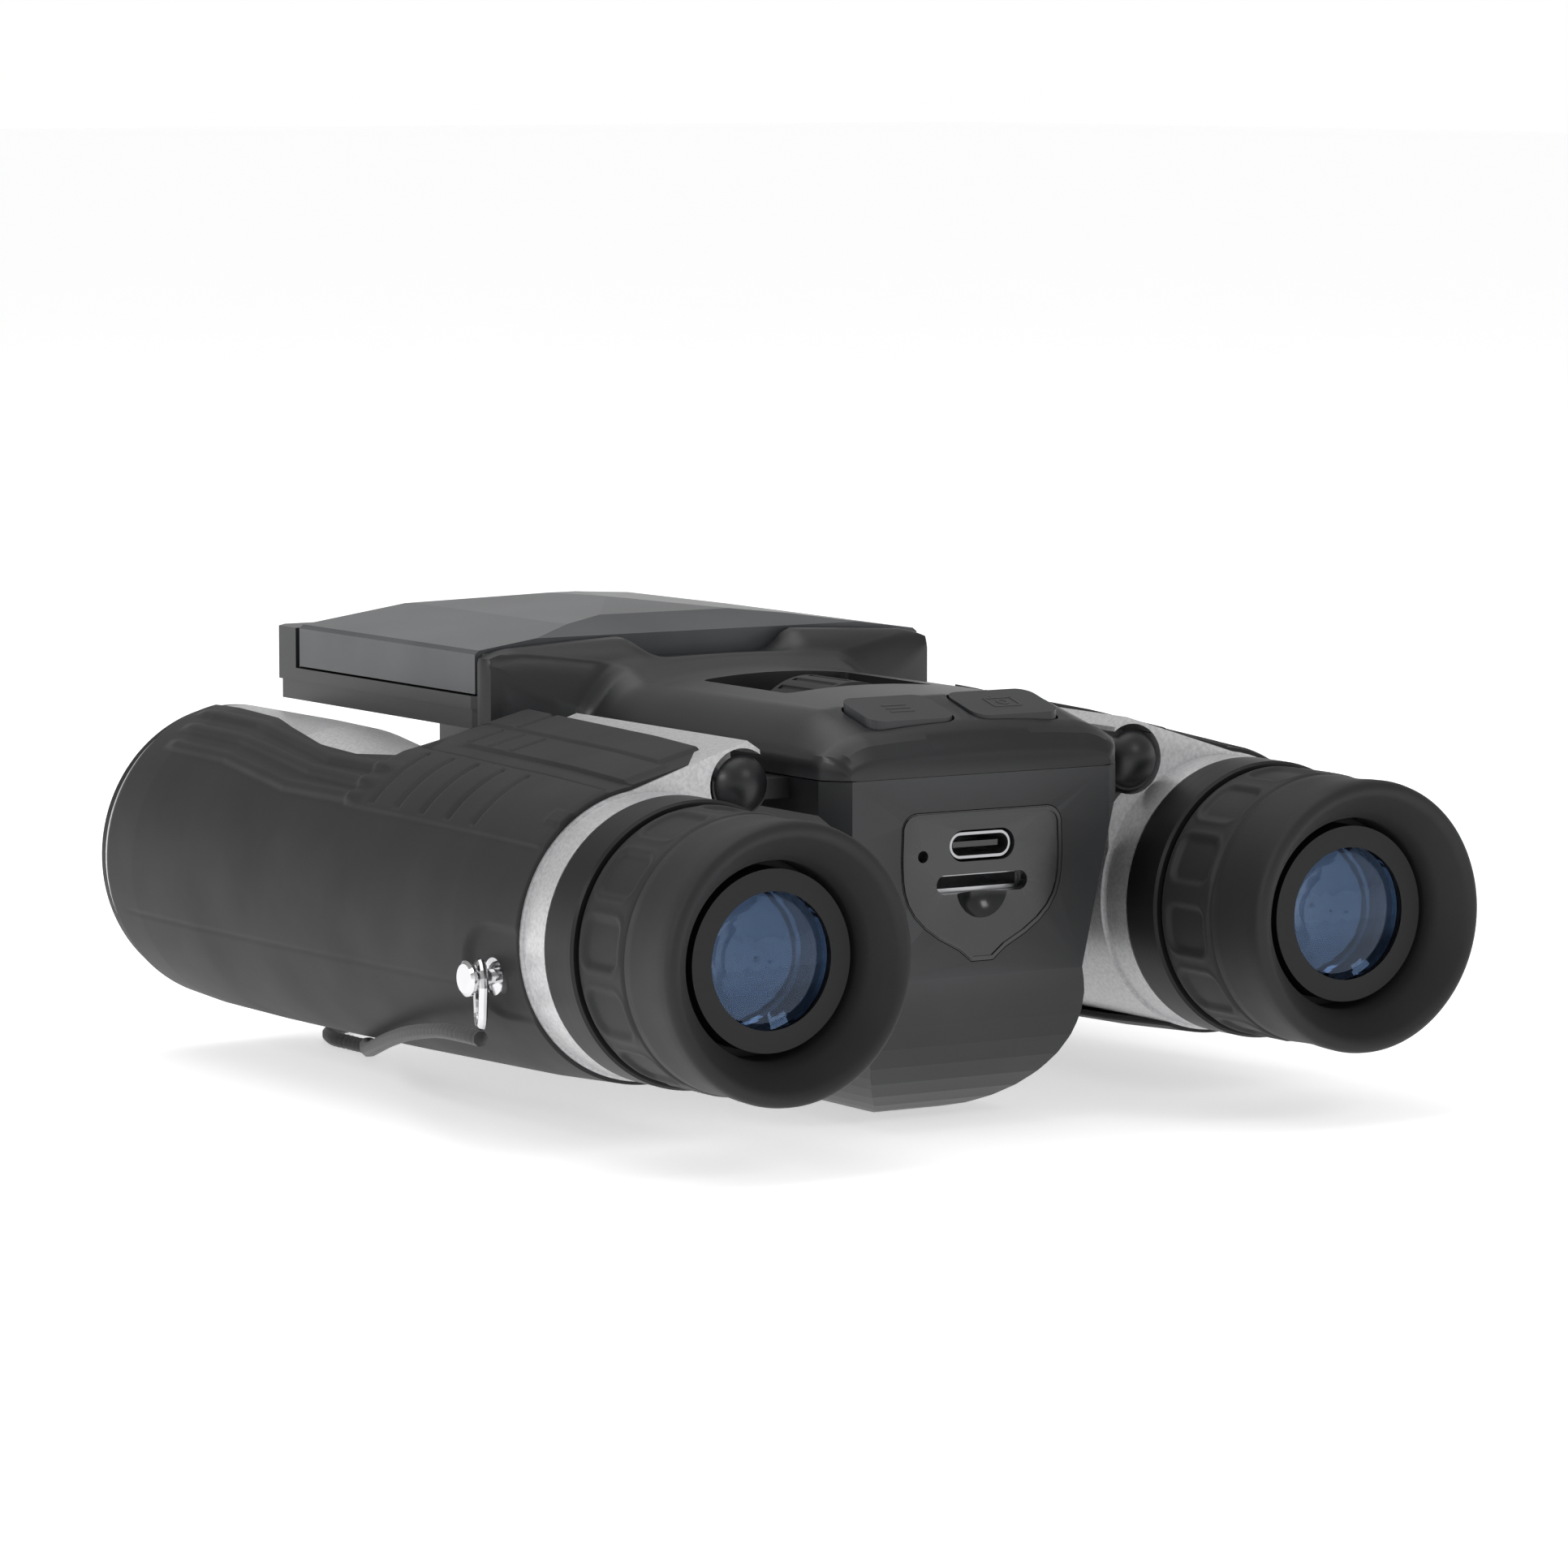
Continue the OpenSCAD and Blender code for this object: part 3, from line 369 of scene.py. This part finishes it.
# Moulded skin: fine spark-eroded grain, slow tone changes, edges rubbed a little paler
def mouldedPlastic(name, base, shade, rough, grain, depth, specular=0.5, coat=0):
    mat, tree, shader = material(name)
    place = addNode(tree, "TexCoord").outputs["Object"]
    slow = noiseOf(tree, place, 18)
    fine = noiseOf(tree, place, grain, 4, 0.6)
    tone = addNode(tree, "MixRGB", Fac=ramp(tree, slow, [(0.3, 0.0), (0.7, 1.0)]),
        Color1=srgb(base), Color2=srgb(shade))
    edge = addNode(tree, "NewGeometry").outputs["Pointiness"]
    rubbed = addNode(tree, "MixRGB", {"blend_type": "ADD"}, Fac=ramp(tree, edge, [(0.52, 0.0), (0.6, 0.1)]),
        Color1=tone.outputs["Color"], Color2=srgb("mark"))
    spread = addNode(tree, "MapRange", Value=fine, To_Min=rough - 0.06, To_Max=rough + 0.08)
    relief = addNode(tree, "Bump", Strength=0.35, Distance=depth * mm, Height=fine).outputs["Normal"]
    setInputs(tree, shader, Base_Color=rubbed.outputs["Color"], Roughness=spread.outputs["Result"],
        Normal=relief, Specular_IOR_Level=specular, Coat_Weight=coat, Coat_Roughness=0.25)
    return mat

# Rubber over-mould: matte, a very fine pebble drawn a little coarse
def softRubber(name):
    mat, tree, shader = material(name)
    place = addNode(tree, "TexCoord").outputs["Object"]
    pebble = addNode(tree, "TexVoronoi", Vector=place, Scale=1 / (0.22 * mm)).outputs["Distance"]
    slow = noiseOf(tree, place, 12)
    tone = addNode(tree, "MixRGB", Fac=slow, Color1=srgb("rubber"), Color2=srgb("rubberDeep"))
    roughness = addNode(tree, "MapRange", Value=slow, To_Min=0.5, To_Max=0.66).outputs["Result"]
    relief = addNode(tree, "Bump", Strength=0.2, Distance=0.02 * mm, Height=pebble).outputs["Normal"]
    setInputs(tree, shader, Base_Color=tone.outputs["Color"], Roughness=roughness, Normal=relief,
        Specular_IOR_Level=0.34, Sheen_Weight=0.03, Sheen_Roughness=0.5)
    return mat

# Metallic paint on a moulding: fine flake sparkle and a slightly cast grain
def silverPaint(name):
    mat, tree, shader = material(name)
    place = addNode(tree, "TexCoord").outputs["Object"]
    flake = addNode(tree, "TexVoronoi", Vector=place, Scale=1 / (0.16 * mm)).outputs["Color"]
    cast = noiseOf(tree, place, 0.45, 3)
    tone = addNode(tree, "MixRGB", Fac=ramp(tree, cast, [(0.35, 0.0), (0.7, 0.55)]), Color1=srgb("silver"),
        Color2=srgb("silverShade"))
    sparkle = addNode(tree, "MapRange", Value=flake, To_Min=0.3, To_Max=0.46).outputs["Result"]
    relief = addNode(tree, "Bump", Strength=0.3, Distance=0.03 * mm, Height=cast).outputs["Normal"]
    setInputs(tree, shader, Base_Color=tone.outputs["Color"], Metallic=0.55, Roughness=sparkle, Normal=relief)
    return mat

# Metal with faint turning marks that run round the optical axes
def turnedMetal(name, colour, metallic, rough, coat=0):
    mat, tree, shader = material(name)
    place = addNode(tree, "TexCoord").outputs["Object"]
    marks = addNode(tree, "TexNoise", Vector=addNode(tree, "Mapping", Vector=place,
        Scale=(60, 4000, 60)).outputs["Vector"], Scale=1, Detail=3).outputs["Fac"]
    slow = noiseOf(tree, place, 6)
    tone = addNode(tree, "MixRGB", Fac=ramp(tree, slow, [(0.2, 0.0), (0.9, 0.3)]), Color1=srgb(colour),
        Color2=srgb("anodised"))
    spread = addNode(tree, "MapRange", Value=marks, To_Min=rough - 0.05, To_Max=rough + 0.07)
    relief = addNode(tree, "Bump", Strength=0.15, Distance=0.01 * mm, Height=marks).outputs["Normal"]
    setInputs(tree, shader, Base_Color=tone.outputs["Color"], Metallic=metallic,
        Roughness=spread.outputs["Result"], Normal=relief, Coat_Weight=coat)
    return mat

# Lens glass with a blue coating: clear enough to see the lens behind it
def coatedGlass(name):
    mat, tree, shader = material(name)
    place = addNode(tree, "TexCoord").outputs["Object"]
    haze = noiseOf(tree, place, 3)
    tint = addNode(tree, "MixRGB", Fac=haze, Color1=(0.5, 0.66, 0.86, 1), Color2=(0.6, 0.74, 0.9, 1))
    roughness = addNode(tree, "MapRange", Value=haze, To_Min=0.0, To_Max=0.03).outputs["Result"]
    setInputs(tree, shader, Base_Color=tint.outputs["Color"], Roughness=roughness, IOR=1.5,
        Transmission_Weight=1, Specular_Tint=(0.55, 0.7, 1, 1))
    return mat

# The deeper lens group: an opaque dome, nearly black at the centre as painted shade of the dark barrel
# behind, lifting to a painted blue coating reflection towards its rim as the surface turns from the view
def innerGlass(name):
    mat, tree, shader = material(name)
    place = addNode(tree, "TexCoord").outputs["Object"]
    facing = addNode(tree, "LayerWeight", Blend=0.35).outputs["Facing"]
    cloud = noiseOf(tree, place, 5)
    lift = addNode(tree, "Math", {"operation": "MULTIPLY"}, i0=facing, i1=cloud).outputs["Value"]
    # Painted shade in the middle, painted blue reflection where the surface turns away from the view
    tone = ramp(tree, lift, [(0.12, srgb("lensCentrePaintedShade")), (0.6, srgb("lensRimPaintedReflection"))])
    setInputs(tree, shader, Base_Color=tone, Roughness=0.04, Coat_Weight=1, Coat_Tint=(0.6, 0.75, 1, 1),
        Specular_Tint=(0.5, 0.7, 1, 1))
    return mat

# Nylon braid: rough fibres, a little pale fuzz at the edges
def braidedNylon(name):
    mat, tree, shader = material(name)
    place = addNode(tree, "TexCoord").outputs["Object"]
    fibre = noiseOf(tree, place, 0.12, 4, 0.7)
    tone = addNode(tree, "MixRGB", Fac=fibre, Color1=srgb("cord"), Color2=srgb("cordLight"))
    relief = addNode(tree, "Bump", Strength=0.5, Distance=0.05 * mm, Height=fibre).outputs["Normal"]
    setInputs(tree, shader, Base_Color=tone.outputs["Color"], Roughness=0.85, Normal=relief,
        Sheen_Weight=0.25)
    return mat

# A matte table top, lit from inside as in a light tent
def studioFloor(name):
    mat, tree, shader = material(name)
    place = addNode(tree, "TexCoord").outputs["Object"]
    mottle = noiseOf(tree, place, 90)
    tone = addNode(tree, "MixRGB", Fac=mottle, Color1=srgb("floor"), Color2=(0.93, 0.93, 0.93, 1))
    setInputs(tree, shader, Base_Color=tone.outputs["Color"], Roughness=0.8, Specular_IOR_Level=0.1,
        Emission_Color=(1, 1, 1, 1), Emission_Strength=0.55)
    return mat

finishes = {
    "satinAbs": mouldedPlastic("satinAbs", "satinAbs", "satinAbsDark", 0.36, 0.12, 0.02),  # spark-eroded ABS
    "satinLidPaintedReflection": mouldedPlastic("satinLidPaintedReflection", "lidPaintedReflection", "lidPaintedReflectionDark", 0.3, 0.1, 0.015),  # finer ABS skin, its grey lifted as a painted reflection of the bright surroundings on the lid top
    "glossAbs": mouldedPlastic("glossAbs", "gloss", "gloss", 0.16, 0.3, 0.004, coat=0.3),  # polished tool
    "softRubber": softRubber("softRubber"),  # over-moulded TPE
    "silverPaint": silverPaint("silverPaint"),  # sprayed metallic lacquer
    "blackAnodised": turnedMetal("blackAnodised", "anodised", 0.5, 0.42),  # turned and anodised
    "chromePlate": turnedMetal("chromePlate", "chrome", 1, 0.12),  # plated wire
    "groundSteel": turnedMetal("groundSteel", "steel", 1, 0.3),  # ground bar
    "machinedBrass": turnedMetal("machinedBrass", "brass", 1, 0.28),  # machined insert
    "coatedGlass": coatedGlass("coatedGlass"),  # ground and coated
    "innerGlass": innerGlass("innerGlass"),  # deeper lens group
    "solderMask": mouldedPlastic("solderMask", "board", "board", 0.4, 0.5, 0.02),  # printed circuit
    "shrinkWrap": mouldedPlastic("shrinkWrap", "battery", "battery", 0.25, 0.8, 0.03),  # battery sleeve
    "braidedNylon": braidedNylon("braidedNylon"),  # round braid
    "iconPaint": mouldedPlastic("iconPaint", "rubberDeep", "gloss", 0.3, 0.2, 0.01),  # sunk icon
    "studioFloor": studioFloor("studioFloor"),
}
slotFinish = {
    "satin_black_abs": "satinAbs", "soft_black_rubber": "softRubber", "silver_paint": "silverPaint",
    "gloss_black_plastic": "glossAbs", "coated_glass": "coatedGlass", "prism_glass": "coatedGlass",
    "black_anodised": "blackAnodised", "chrome_wire": "chromePlate", "steel_pin": "groundSteel",
    "brass_insert": "machinedBrass", "circuit_board": "solderMask", "battery_wrap": "shrinkWrap",
    "display_glass": "glossAbs", "nylon_cord": "braidedNylon",
}

def paint(obj, finish):
    obj.data.materials.clear()
    obj.data.materials.append(finishes[finish])
    return obj

for part in frame["record"]["subparts"]:
    node = frame["nodes"][part["node"]]
    for slot in node.material_slots:
        slot.material = finishes[slotFinish[part["material_slot"]]]
for cord in cords:
    paint(cord, "braidedNylon")
print("materials made")

deckShape = {"buttonGap": 0.5, "windowAt": 38, "windowSize": (22, 21), "hollowAt": 34, "hollowSize": (38, 60),
    "hollowTop": 47.6, "edge": 0.35}

# One lengthwise slice of the shell as a ring of points, left foot over the crown to right foot
def shellSection(y):
    t = y - faceY
    half = interp([(0, bodyHalf - 2.8), (0.8, bodyHalf - 1.6), (2.8, bodyHalf - 0.2), (5, bodyHalf),
        (58.6, bodyHalf), (60, bodyHalf + 1), (63.4, trayHalf - 0.6), (65, trayHalf)], t)
    foot = interp([(58.6, seamZ + 0.05), (61.5, seamZ + 1.6)], t)
    side = interp([(0, 45.4), (0.8, 46.4), (2.6, 47), (58, 47), (61.5, 50.5), (64, 55)], t)
    inner = interp([(0, 46.2), (0.8, 48.4), (2.6, 49.7), (11, 52), (54, 52), (60, 54.2), (64.4, 56.2)], t)
    crown = interp([(0, 46.7), (0.8, 49), (2.6, 50.5), (11, 53), (49, 53.1), (54, 53.3), (58, 54.4),
        (61.5, 56.4), (64, 57.1), (66, 57.2)], t)
    shoulder = interp([(0, 4.5), (3, 7), (58, 7), (63.4, 5)], t)
    points = [(-half + 1.2, y, foot), (-half, y, foot + 0.1), (-half, y, foot + (side - foot) * 0.5),
        (-half, y, side - 0.5)]
    for u in (0.04, 0.12, 0.24, 0.4, 0.58, 0.76, 0.9, 1):
        rise = math.sin(u * math.pi / 2) ** 0.9
        points.append((-half + shoulder * u, y, side + (inner - side) * rise))
    reach = half - shoulder
    notch = smooth(57, 62, t)  # hollow for a finger to lift the lid
    for i in range(1, 48):
        x = -reach + 2 * reach * i / 48
        z = inner + (crown - inner) * (1 - (x / reach) ** 2)
        dip = (z - 54.2) * (1 - smooth(8.6, 13.5, abs(x))) * notch
        points.append((x, y, z - max(0, dip)))
    points += [(-x, y, z) for x, y, z in reversed(points[:12])]
    return points

def makeTopShell():
    stations = [0, 0.25, 0.8, 1.6, 2.6, 3.6, 5, 8, 11, 13, 20, 27, 34, 41, 48, 51, 54]
    stations += [55 + 0.5 * i for i in range(23)]
    rows = [shellSection(faceY + s) for s in stations if faceY + s < trayY + 0.5]
    body = grid("deckShell", rows, wrapCols=True, caps=True)
    cutters = []
    for node in ("menu_button", "shutter_button"):
        cx, cy = (low(node, 0) + high(node, 0)) / 2, (low(node, 1) + high(node, 1)) / 2
        wide = high(node, 0) - low(node, 0) + deckShape["buttonGap"]
        long = high(node, 1) - low(node, 1) + deckShape["buttonGap"]
        cutters.append(prism("hole", roundedRect(cx, cy, wide, long, 2.2), seamZ - 2, 60))
    opening = roundedRect(0, faceY + deckShape["windowAt"], *deckShape["windowSize"], 1.2)
    hollow = roundedRect(0, faceY + deckShape["hollowAt"], *deckShape["hollowSize"], 2)
    cutters.append(prism("window", opening, seamZ - 2, 60))
    cutters.append(prism("hollow", hollow, seamZ - 2, deckShape["hollowTop"]))
    cut(body, *cutters)
    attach(body, "centre_body")
    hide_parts("top_shell")
    bevel(body, deckShape["edge"], 3, 32)
    body.data.polygons.foreach_set("use_smooth", [True] * len(body.data.polygons))
    return paint(body, "satinAbs")

icons = {"lift": 0.06, "root": -0.25, "barGap": 1.05, "barSize": (3.6, 0.42), "lensInner": 0.5,
    "lensOuter": 0.85}

# Thin raised marks that follow the slope of a button's top
def iconBars(name, bars, body):
    cx, cy = (low(body, 0) + high(body, 0)) / 2, (low(body, 1) + high(body, 1)) / 2
    verts, faces = [], []
    for outline in bars:
        n, start = len(outline), len(verts)
        for lift in (icons["root"], icons["lift"]):
            for x, y in outline:
                verts.append((cx + x, cy + y, buttonTop(cy + y) + lift))
        faces += [tuple(start + i for i in range(n))[::-1], tuple(start + n + i for i in range(n))]
        faces += [(start + i, start + (i + 1) % n, start + n + (i + 1) % n, start + n + i) for i in range(n)]
    icon = newObject(name, verts, faces, shade=False)
    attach(icon, body)
    return paint(icon, "iconPaint")

def buttonTop(y):
    return interp([(2.6, 50.9), (11.5, 53.3)], y - faceY)

def ringOutline(inner, outer, parts=20):
    pieces = []
    for i in range(parts):
        a, b = 2 * math.pi * i / parts, 2 * math.pi * (i + 1) / parts
        corners = ((inner, a), (outer, a), (outer, b), (inner, b))
        pieces.append([(r * math.cos(turn), r * math.sin(turn)) for r, turn in corners])
    return pieces

def makeIcons():
    lines = [roundedRect(0, k * icons["barGap"], *icons["barSize"], 0.2, 2) for k in (-1, 0, 1)]
    iconBars("menuIcon", lines, "menu_button")
    frameBars = [roundedRect(0, s * 1.35, 4.2, 0.36, 0.15, 2) for s in (-1, 1)]
    frameBars += [roundedRect(s * 1.95, 0, 0.36, 2.7, 0.15, 2) for s in (-1, 1)]
    frameBars += [roundedRect(0, 1.75, 1.5, 0.4, 0.15, 2)]
    lens = ringOutline(icons["lensInner"], icons["lensOuter"])
    iconBars("shutterIcon", frameBars + lens, "shutter_button")

armour = {"from": 9.9, "rowStep": 0.45, "rows": 237, "columns": 250, "thickness": 0.75, "underside": 292,
    "ribHeight": 0.55, "ribWidth": 0.85, "grooveDepth": 0.5, "grooveWidth": 0.42, "padHeight": 0.32,
    "nearStep": 0.3, "flatWidth": 12.6, "flatStart": 97, "flatSlope": 14.2, "recessRadius": 18.12}

# Tables run along the barrel from the body's near face: where the skin ends on top, where the three long
# ribs lie, in degrees round the axis, and how far out the skin stands
edgeAngle = [(9.9, 96), (50, 97), (54, 104), (58, 114), (66, 118), (76, 117), (88, 110), (95, 105),
    (112, 101), (117, 100)]
ribAngles = [
    [(55, 122), (69.5, 122.8), (95, 112), (112, 110.5)],
    [(56, 130.6), (71, 130), (94, 122), (110, 121)],
    [(57, 138), (74, 138.5), (93, 132), (109, 131)],
]
outerRadius = [(9.9, 18.35), (24, 19.1), (40, 19.5), (56, 19.9), (74, 20.25), (92, 20.45), (108, 20.4),
    (116.5, 20.0)]

# Height of ribs, grooves and pads over the plain skin; along is the distance over the flat part on top
def armourRelief(angle, t, along=None):
    h = 0
    if along is None:
        for path in ribAngles:
            d = math.radians(angle - interp(path, t)) * 19.6
            ends = window(path[0][0] + 1, path[-1][0] - 1, 4, t)
            h += armour["ribHeight"] * ends * math.exp(-(d / armour["ribWidth"]) ** 4)
        pad = window(107, 141, 1.2, angle) * window(11, 57, 1.2, t)
        h += armour["padHeight"] * pad
        for i in range(5):
            d = (t - 27 - 6.2 * i) / armour["grooveWidth"]
            h -= armour["grooveDepth"] * math.exp(-d * d) * window(110.5, 138.5, 1.2, angle) * pad
        h -= 0.35 * bump(106, 0.7, angle) * window(12, 57, 1, t)
        h -= 0.12 * bump(199, 0.9, angle) * window(24, 108, 6, t)
        h += armour["nearStep"] * window(124, 131, 0.5, angle) * (1 - smooth(13.2, 13.6, t))
    else:
        first, second = window(0.3, 6.2, 0.35, along), window(7.0, 13.6, 0.35, along)
        h += armour["padHeight"] * first * window(12, 56.5, 0.5, t)
        h += 0.42 * second * window(14.5, 56.5, 0.5, t)
        for i in range(3):
            across = bump(40 + 5.2 * i, armour["grooveWidth"], t)
            h -= armour["grooveDepth"] * across * window(0.9, 5.6, 0.4, along)
        h -= armour["grooveDepth"] * bump(49, armour["grooveWidth"], t) * window(7.4, 13.2, 0.4, along)
    return h

# A point on the left barrel's skin: angle from +X, t from the body's near face, thick below the surface
def armourPoint(angle, t, thick):
    a = math.radians(angle)
    r = interp(outerRadius, t) + armourRelief(angle, t) - thick
    x, z = -axisX + r * math.cos(a), axisZ + r * math.sin(a)
    y = faceY + t
    if thick == 0 and 170 < angle < 225:
        dy = max(0, y - postY)
        far = math.hypot(dy, z - postZ - 0.6)
        sunk = 1 - smooth(5.0, 6.1, far)  # hollow round the strap post, open towards the eyecup
        floorX = -axisX + armour["recessRadius"] * math.cos(a)
        x += (max(x, floorX) - x) * sunk
    return (x, y, z)

def padPoint(along, t, thick, width):
    a = math.radians(armour["flatStart"])
    r = interp(outerRadius, t)
    slope = math.radians(armour["flatSlope"])
    x0, z0 = -axisX + r * math.cos(a), axisZ + r * math.sin(a)
    fade = width / 14
    lift = armourRelief(0, t, along) * fade - thick
    x, z = x0 + along * fade * math.cos(slope), z0 + along * fade * math.sin(slope) + 0.12
    return (x - lift * math.sin(slope), faceY + t, z + lift * math.cos(slope))

def makeArmour():
    stations = [armour["from"] + armour["rowStep"] * i for i in range(armour["rows"])]
    start, count = armour["underside"], armour["columns"]
    outer, inner = [], []
    for t in stations:
        sweep = start - interp(edgeAngle, t)
        width = armour["flatWidth"] * (1 - smooth(55.5, 57.5, t))
        for rows, thick in ((outer, 0), (inner, armour["thickness"])):
            row = [armourPoint(start - sweep * i / count, t, thick) for i in range(count + 1)]
            if width > 0.05:
                row += [padPoint(0.3 * k, t, thick, width * 14 / armour["flatWidth"]) for k in range(1, 43)]
            else:
                row += [row[-1]] * 42
            rows.append(row)
    left = shell("leftArmour", outer, inner)
    for obj, side in ((left, "left"), (mirrored(left, "rightArmour"), "right")):
        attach(obj, side + "_barrel")
        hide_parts(side + "_armour")
        paint(obj, "softRubber")

eyecup = {"padCount": 12, "padHalfWidth": 3.1, "padFrom": -11.4, "padTo": -3.6, "padDepth": 0.42,
    "padCorner": 1.6, "padTurn": 7, "bore": 12.05}

# Sunk finger pads with rounded corners and a fine lip, placed round the sleeve
def padRelief(a, r, y):
    if r < 16 or not eyecup["padFrom"] - 1.5 < y - faceY < eyecup["padTo"] + 1.5:
        return 0
    pitch = 2 * math.pi / eyecup["padCount"]
    across = ((a + math.radians(eyecup["padTurn"]) + pitch / 2) % pitch - pitch / 2) * r
    half = (eyecup["padTo"] - eyecup["padFrom"]) / 2
    along = y - faceY - (eyecup["padFrom"] + eyecup["padTo"]) / 2
    corner = eyecup["padCorner"]
    qx, qy = max(0, abs(across) - eyecup["padHalfWidth"] + corner), max(0, abs(along) - half + corner)
    d = math.hypot(qx, qy) - corner
    return -eyecup["padDepth"] * (1 - smooth(-0.7, 0.15, d)) + 0.14 * bump(0.45, 0.35, d)

def makeEyecups():
    rim, sleeveEnd = eyeRim, faceY - 2.25
    bore = eyecup["bore"]
    outline = [(bore, rim + 9.4), (bore, rim + 4.5), (13.0, rim + 3.2), (14.0, rim + 1.9), (14.9, rim + 0.75),
        (15.25, rim + 0.3), (15.7, rim + 0.05), (16.2, rim + 0.02), (16.65, rim + 0.25), (16.95, rim + 0.7),
        (17.05, rim + 1.3), (17.0, rim + 3), (16.85, rim + 5), (16.8, rim + 7), (16.85, rim + 9),
        (16.9, rim + 10.4), (16.55, rim + 10.75), (16.9, rim + 11.1)]
    outline += [(16.95, rim + 11.4 + 0.25 * i) for i in range(int((sleeveEnd - rim - 11.9) / 0.25))]
    outline += [(16.9, sleeveEnd - 0.3), (16.5, sleeveEnd), (12.6, sleeveEnd), (bore, sleeveEnd - 0.4)]
    left = lathe("leftCup", (-axisX, axisZ), outline, 360, padRelief)
    right = mirrored(left, "rightCup")
    for obj, side, body in ((left, "left", "left_barrel"), (right, "right", "right_eyepiece")):
        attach(obj, body)
        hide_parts(side + "_eyecup")
        paint(obj, "softRubber")

fieldLens = {"radius": 8.3, "behind": 1.6, "bulge": 1.3, "thickness": 0.6}

def domeProfile(r, y, bulge, thick, steps=14):
    face = [(r * i / steps, y - bulge * (1 - (i / steps) ** 2)) for i in range(1, steps + 1)]
    return [(0.001, y - bulge)] + face + [(r, y + thick), (0.001, y + thick)]

# The second lens group behind each eye lens
def makeInnerLenses():
    for side, sx, body in (("left", -1, "left_barrel"), ("right", 1, "right_eyepiece")):
        y = high(side + "_eye_lens", 1) + fieldLens["behind"]
        dome = domeProfile(fieldLens["radius"], y, fieldLens["bulge"], fieldLens["thickness"])
        deep = lathe(side + "FieldLens", (sx * axisX, axisZ), dome, 72)
        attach(deep, body)
        paint(deep, "innerGlass")

makeTopShell()
makeIcons()
print("deck and icons made")
makeArmour()
print("armour made")
makeEyecups()
makeInnerLenses()
print("eyepieces made")

# Rounded edges of the parts kept from the frame
edgeWidths = {"lower_housing": 0.7, "screen_tray": 0.3, "lid_cover": 0.35, "tray_underside": 0.3,
    "menu_button": 0.45, "shutter_button": 0.45, "left_housing": 0.3, "right_housing": 0.3,
    "port_panel": 0.12, "left_lens_bezel": 0.2, "right_lens_bezel": 0.2}
for name, width in edgeWidths.items():
    bevel(bpy.data.objects[name], width, 3, 24)
# The lid takes the lighter satin, a painted reflection of the bright surroundings on its top
bpy.data.objects["lid_cover"].material_slots[0].material = finishes["satinLidPaintedReflection"]

studio = {"floorHalf": 6000, "floorFar": 9000, "floorZ": -0.02, "aim": (0, 0, 0.03)}

def makeStudio():
    half, far, z = studio["floorHalf"], studio["floorFar"], studio["floorZ"]
    floor = newObject("floor", [(-half, -half, z), (half, -half, z), (half, far, z), (-half, far, z)],
        [(0, 1, 2, 3)], shade=False)
    paint(floor, "studioFloor")
    world = bpy.data.worlds.new("studio")
    bpy.context.scene.world = world
    world.use_nodes = True
    tree = world.node_tree
    height = addNode(tree, "SeparateXYZ", Vector=addNode(tree, "TexCoord").outputs["Generated"]).outputs["Z"]
    sky = ramp(tree, height, [(0.12, 1.0), (0.3, 0.32), (0.75, 0.45)])  # white low, dim walls, soft ceiling
    setInputs(tree, tree.nodes["Background"], Color=sky, Strength=1.0)
    areaLight("overhead", (-0.1, 0.25, 1.1), studio["aim"], 1.1, 4.5)
    areaLight("leftSide", (-0.9, -0.1, 0.5), studio["aim"], 0.4, 2.2, 0.25)
    areaLight("frontHigh", (0.25, -0.9, 0.75), studio["aim"], 0.3, 1.2, 0.3)

makeStudio()
bpy.context.scene.view_settings.view_transform = "Standard"
print("studio lit")
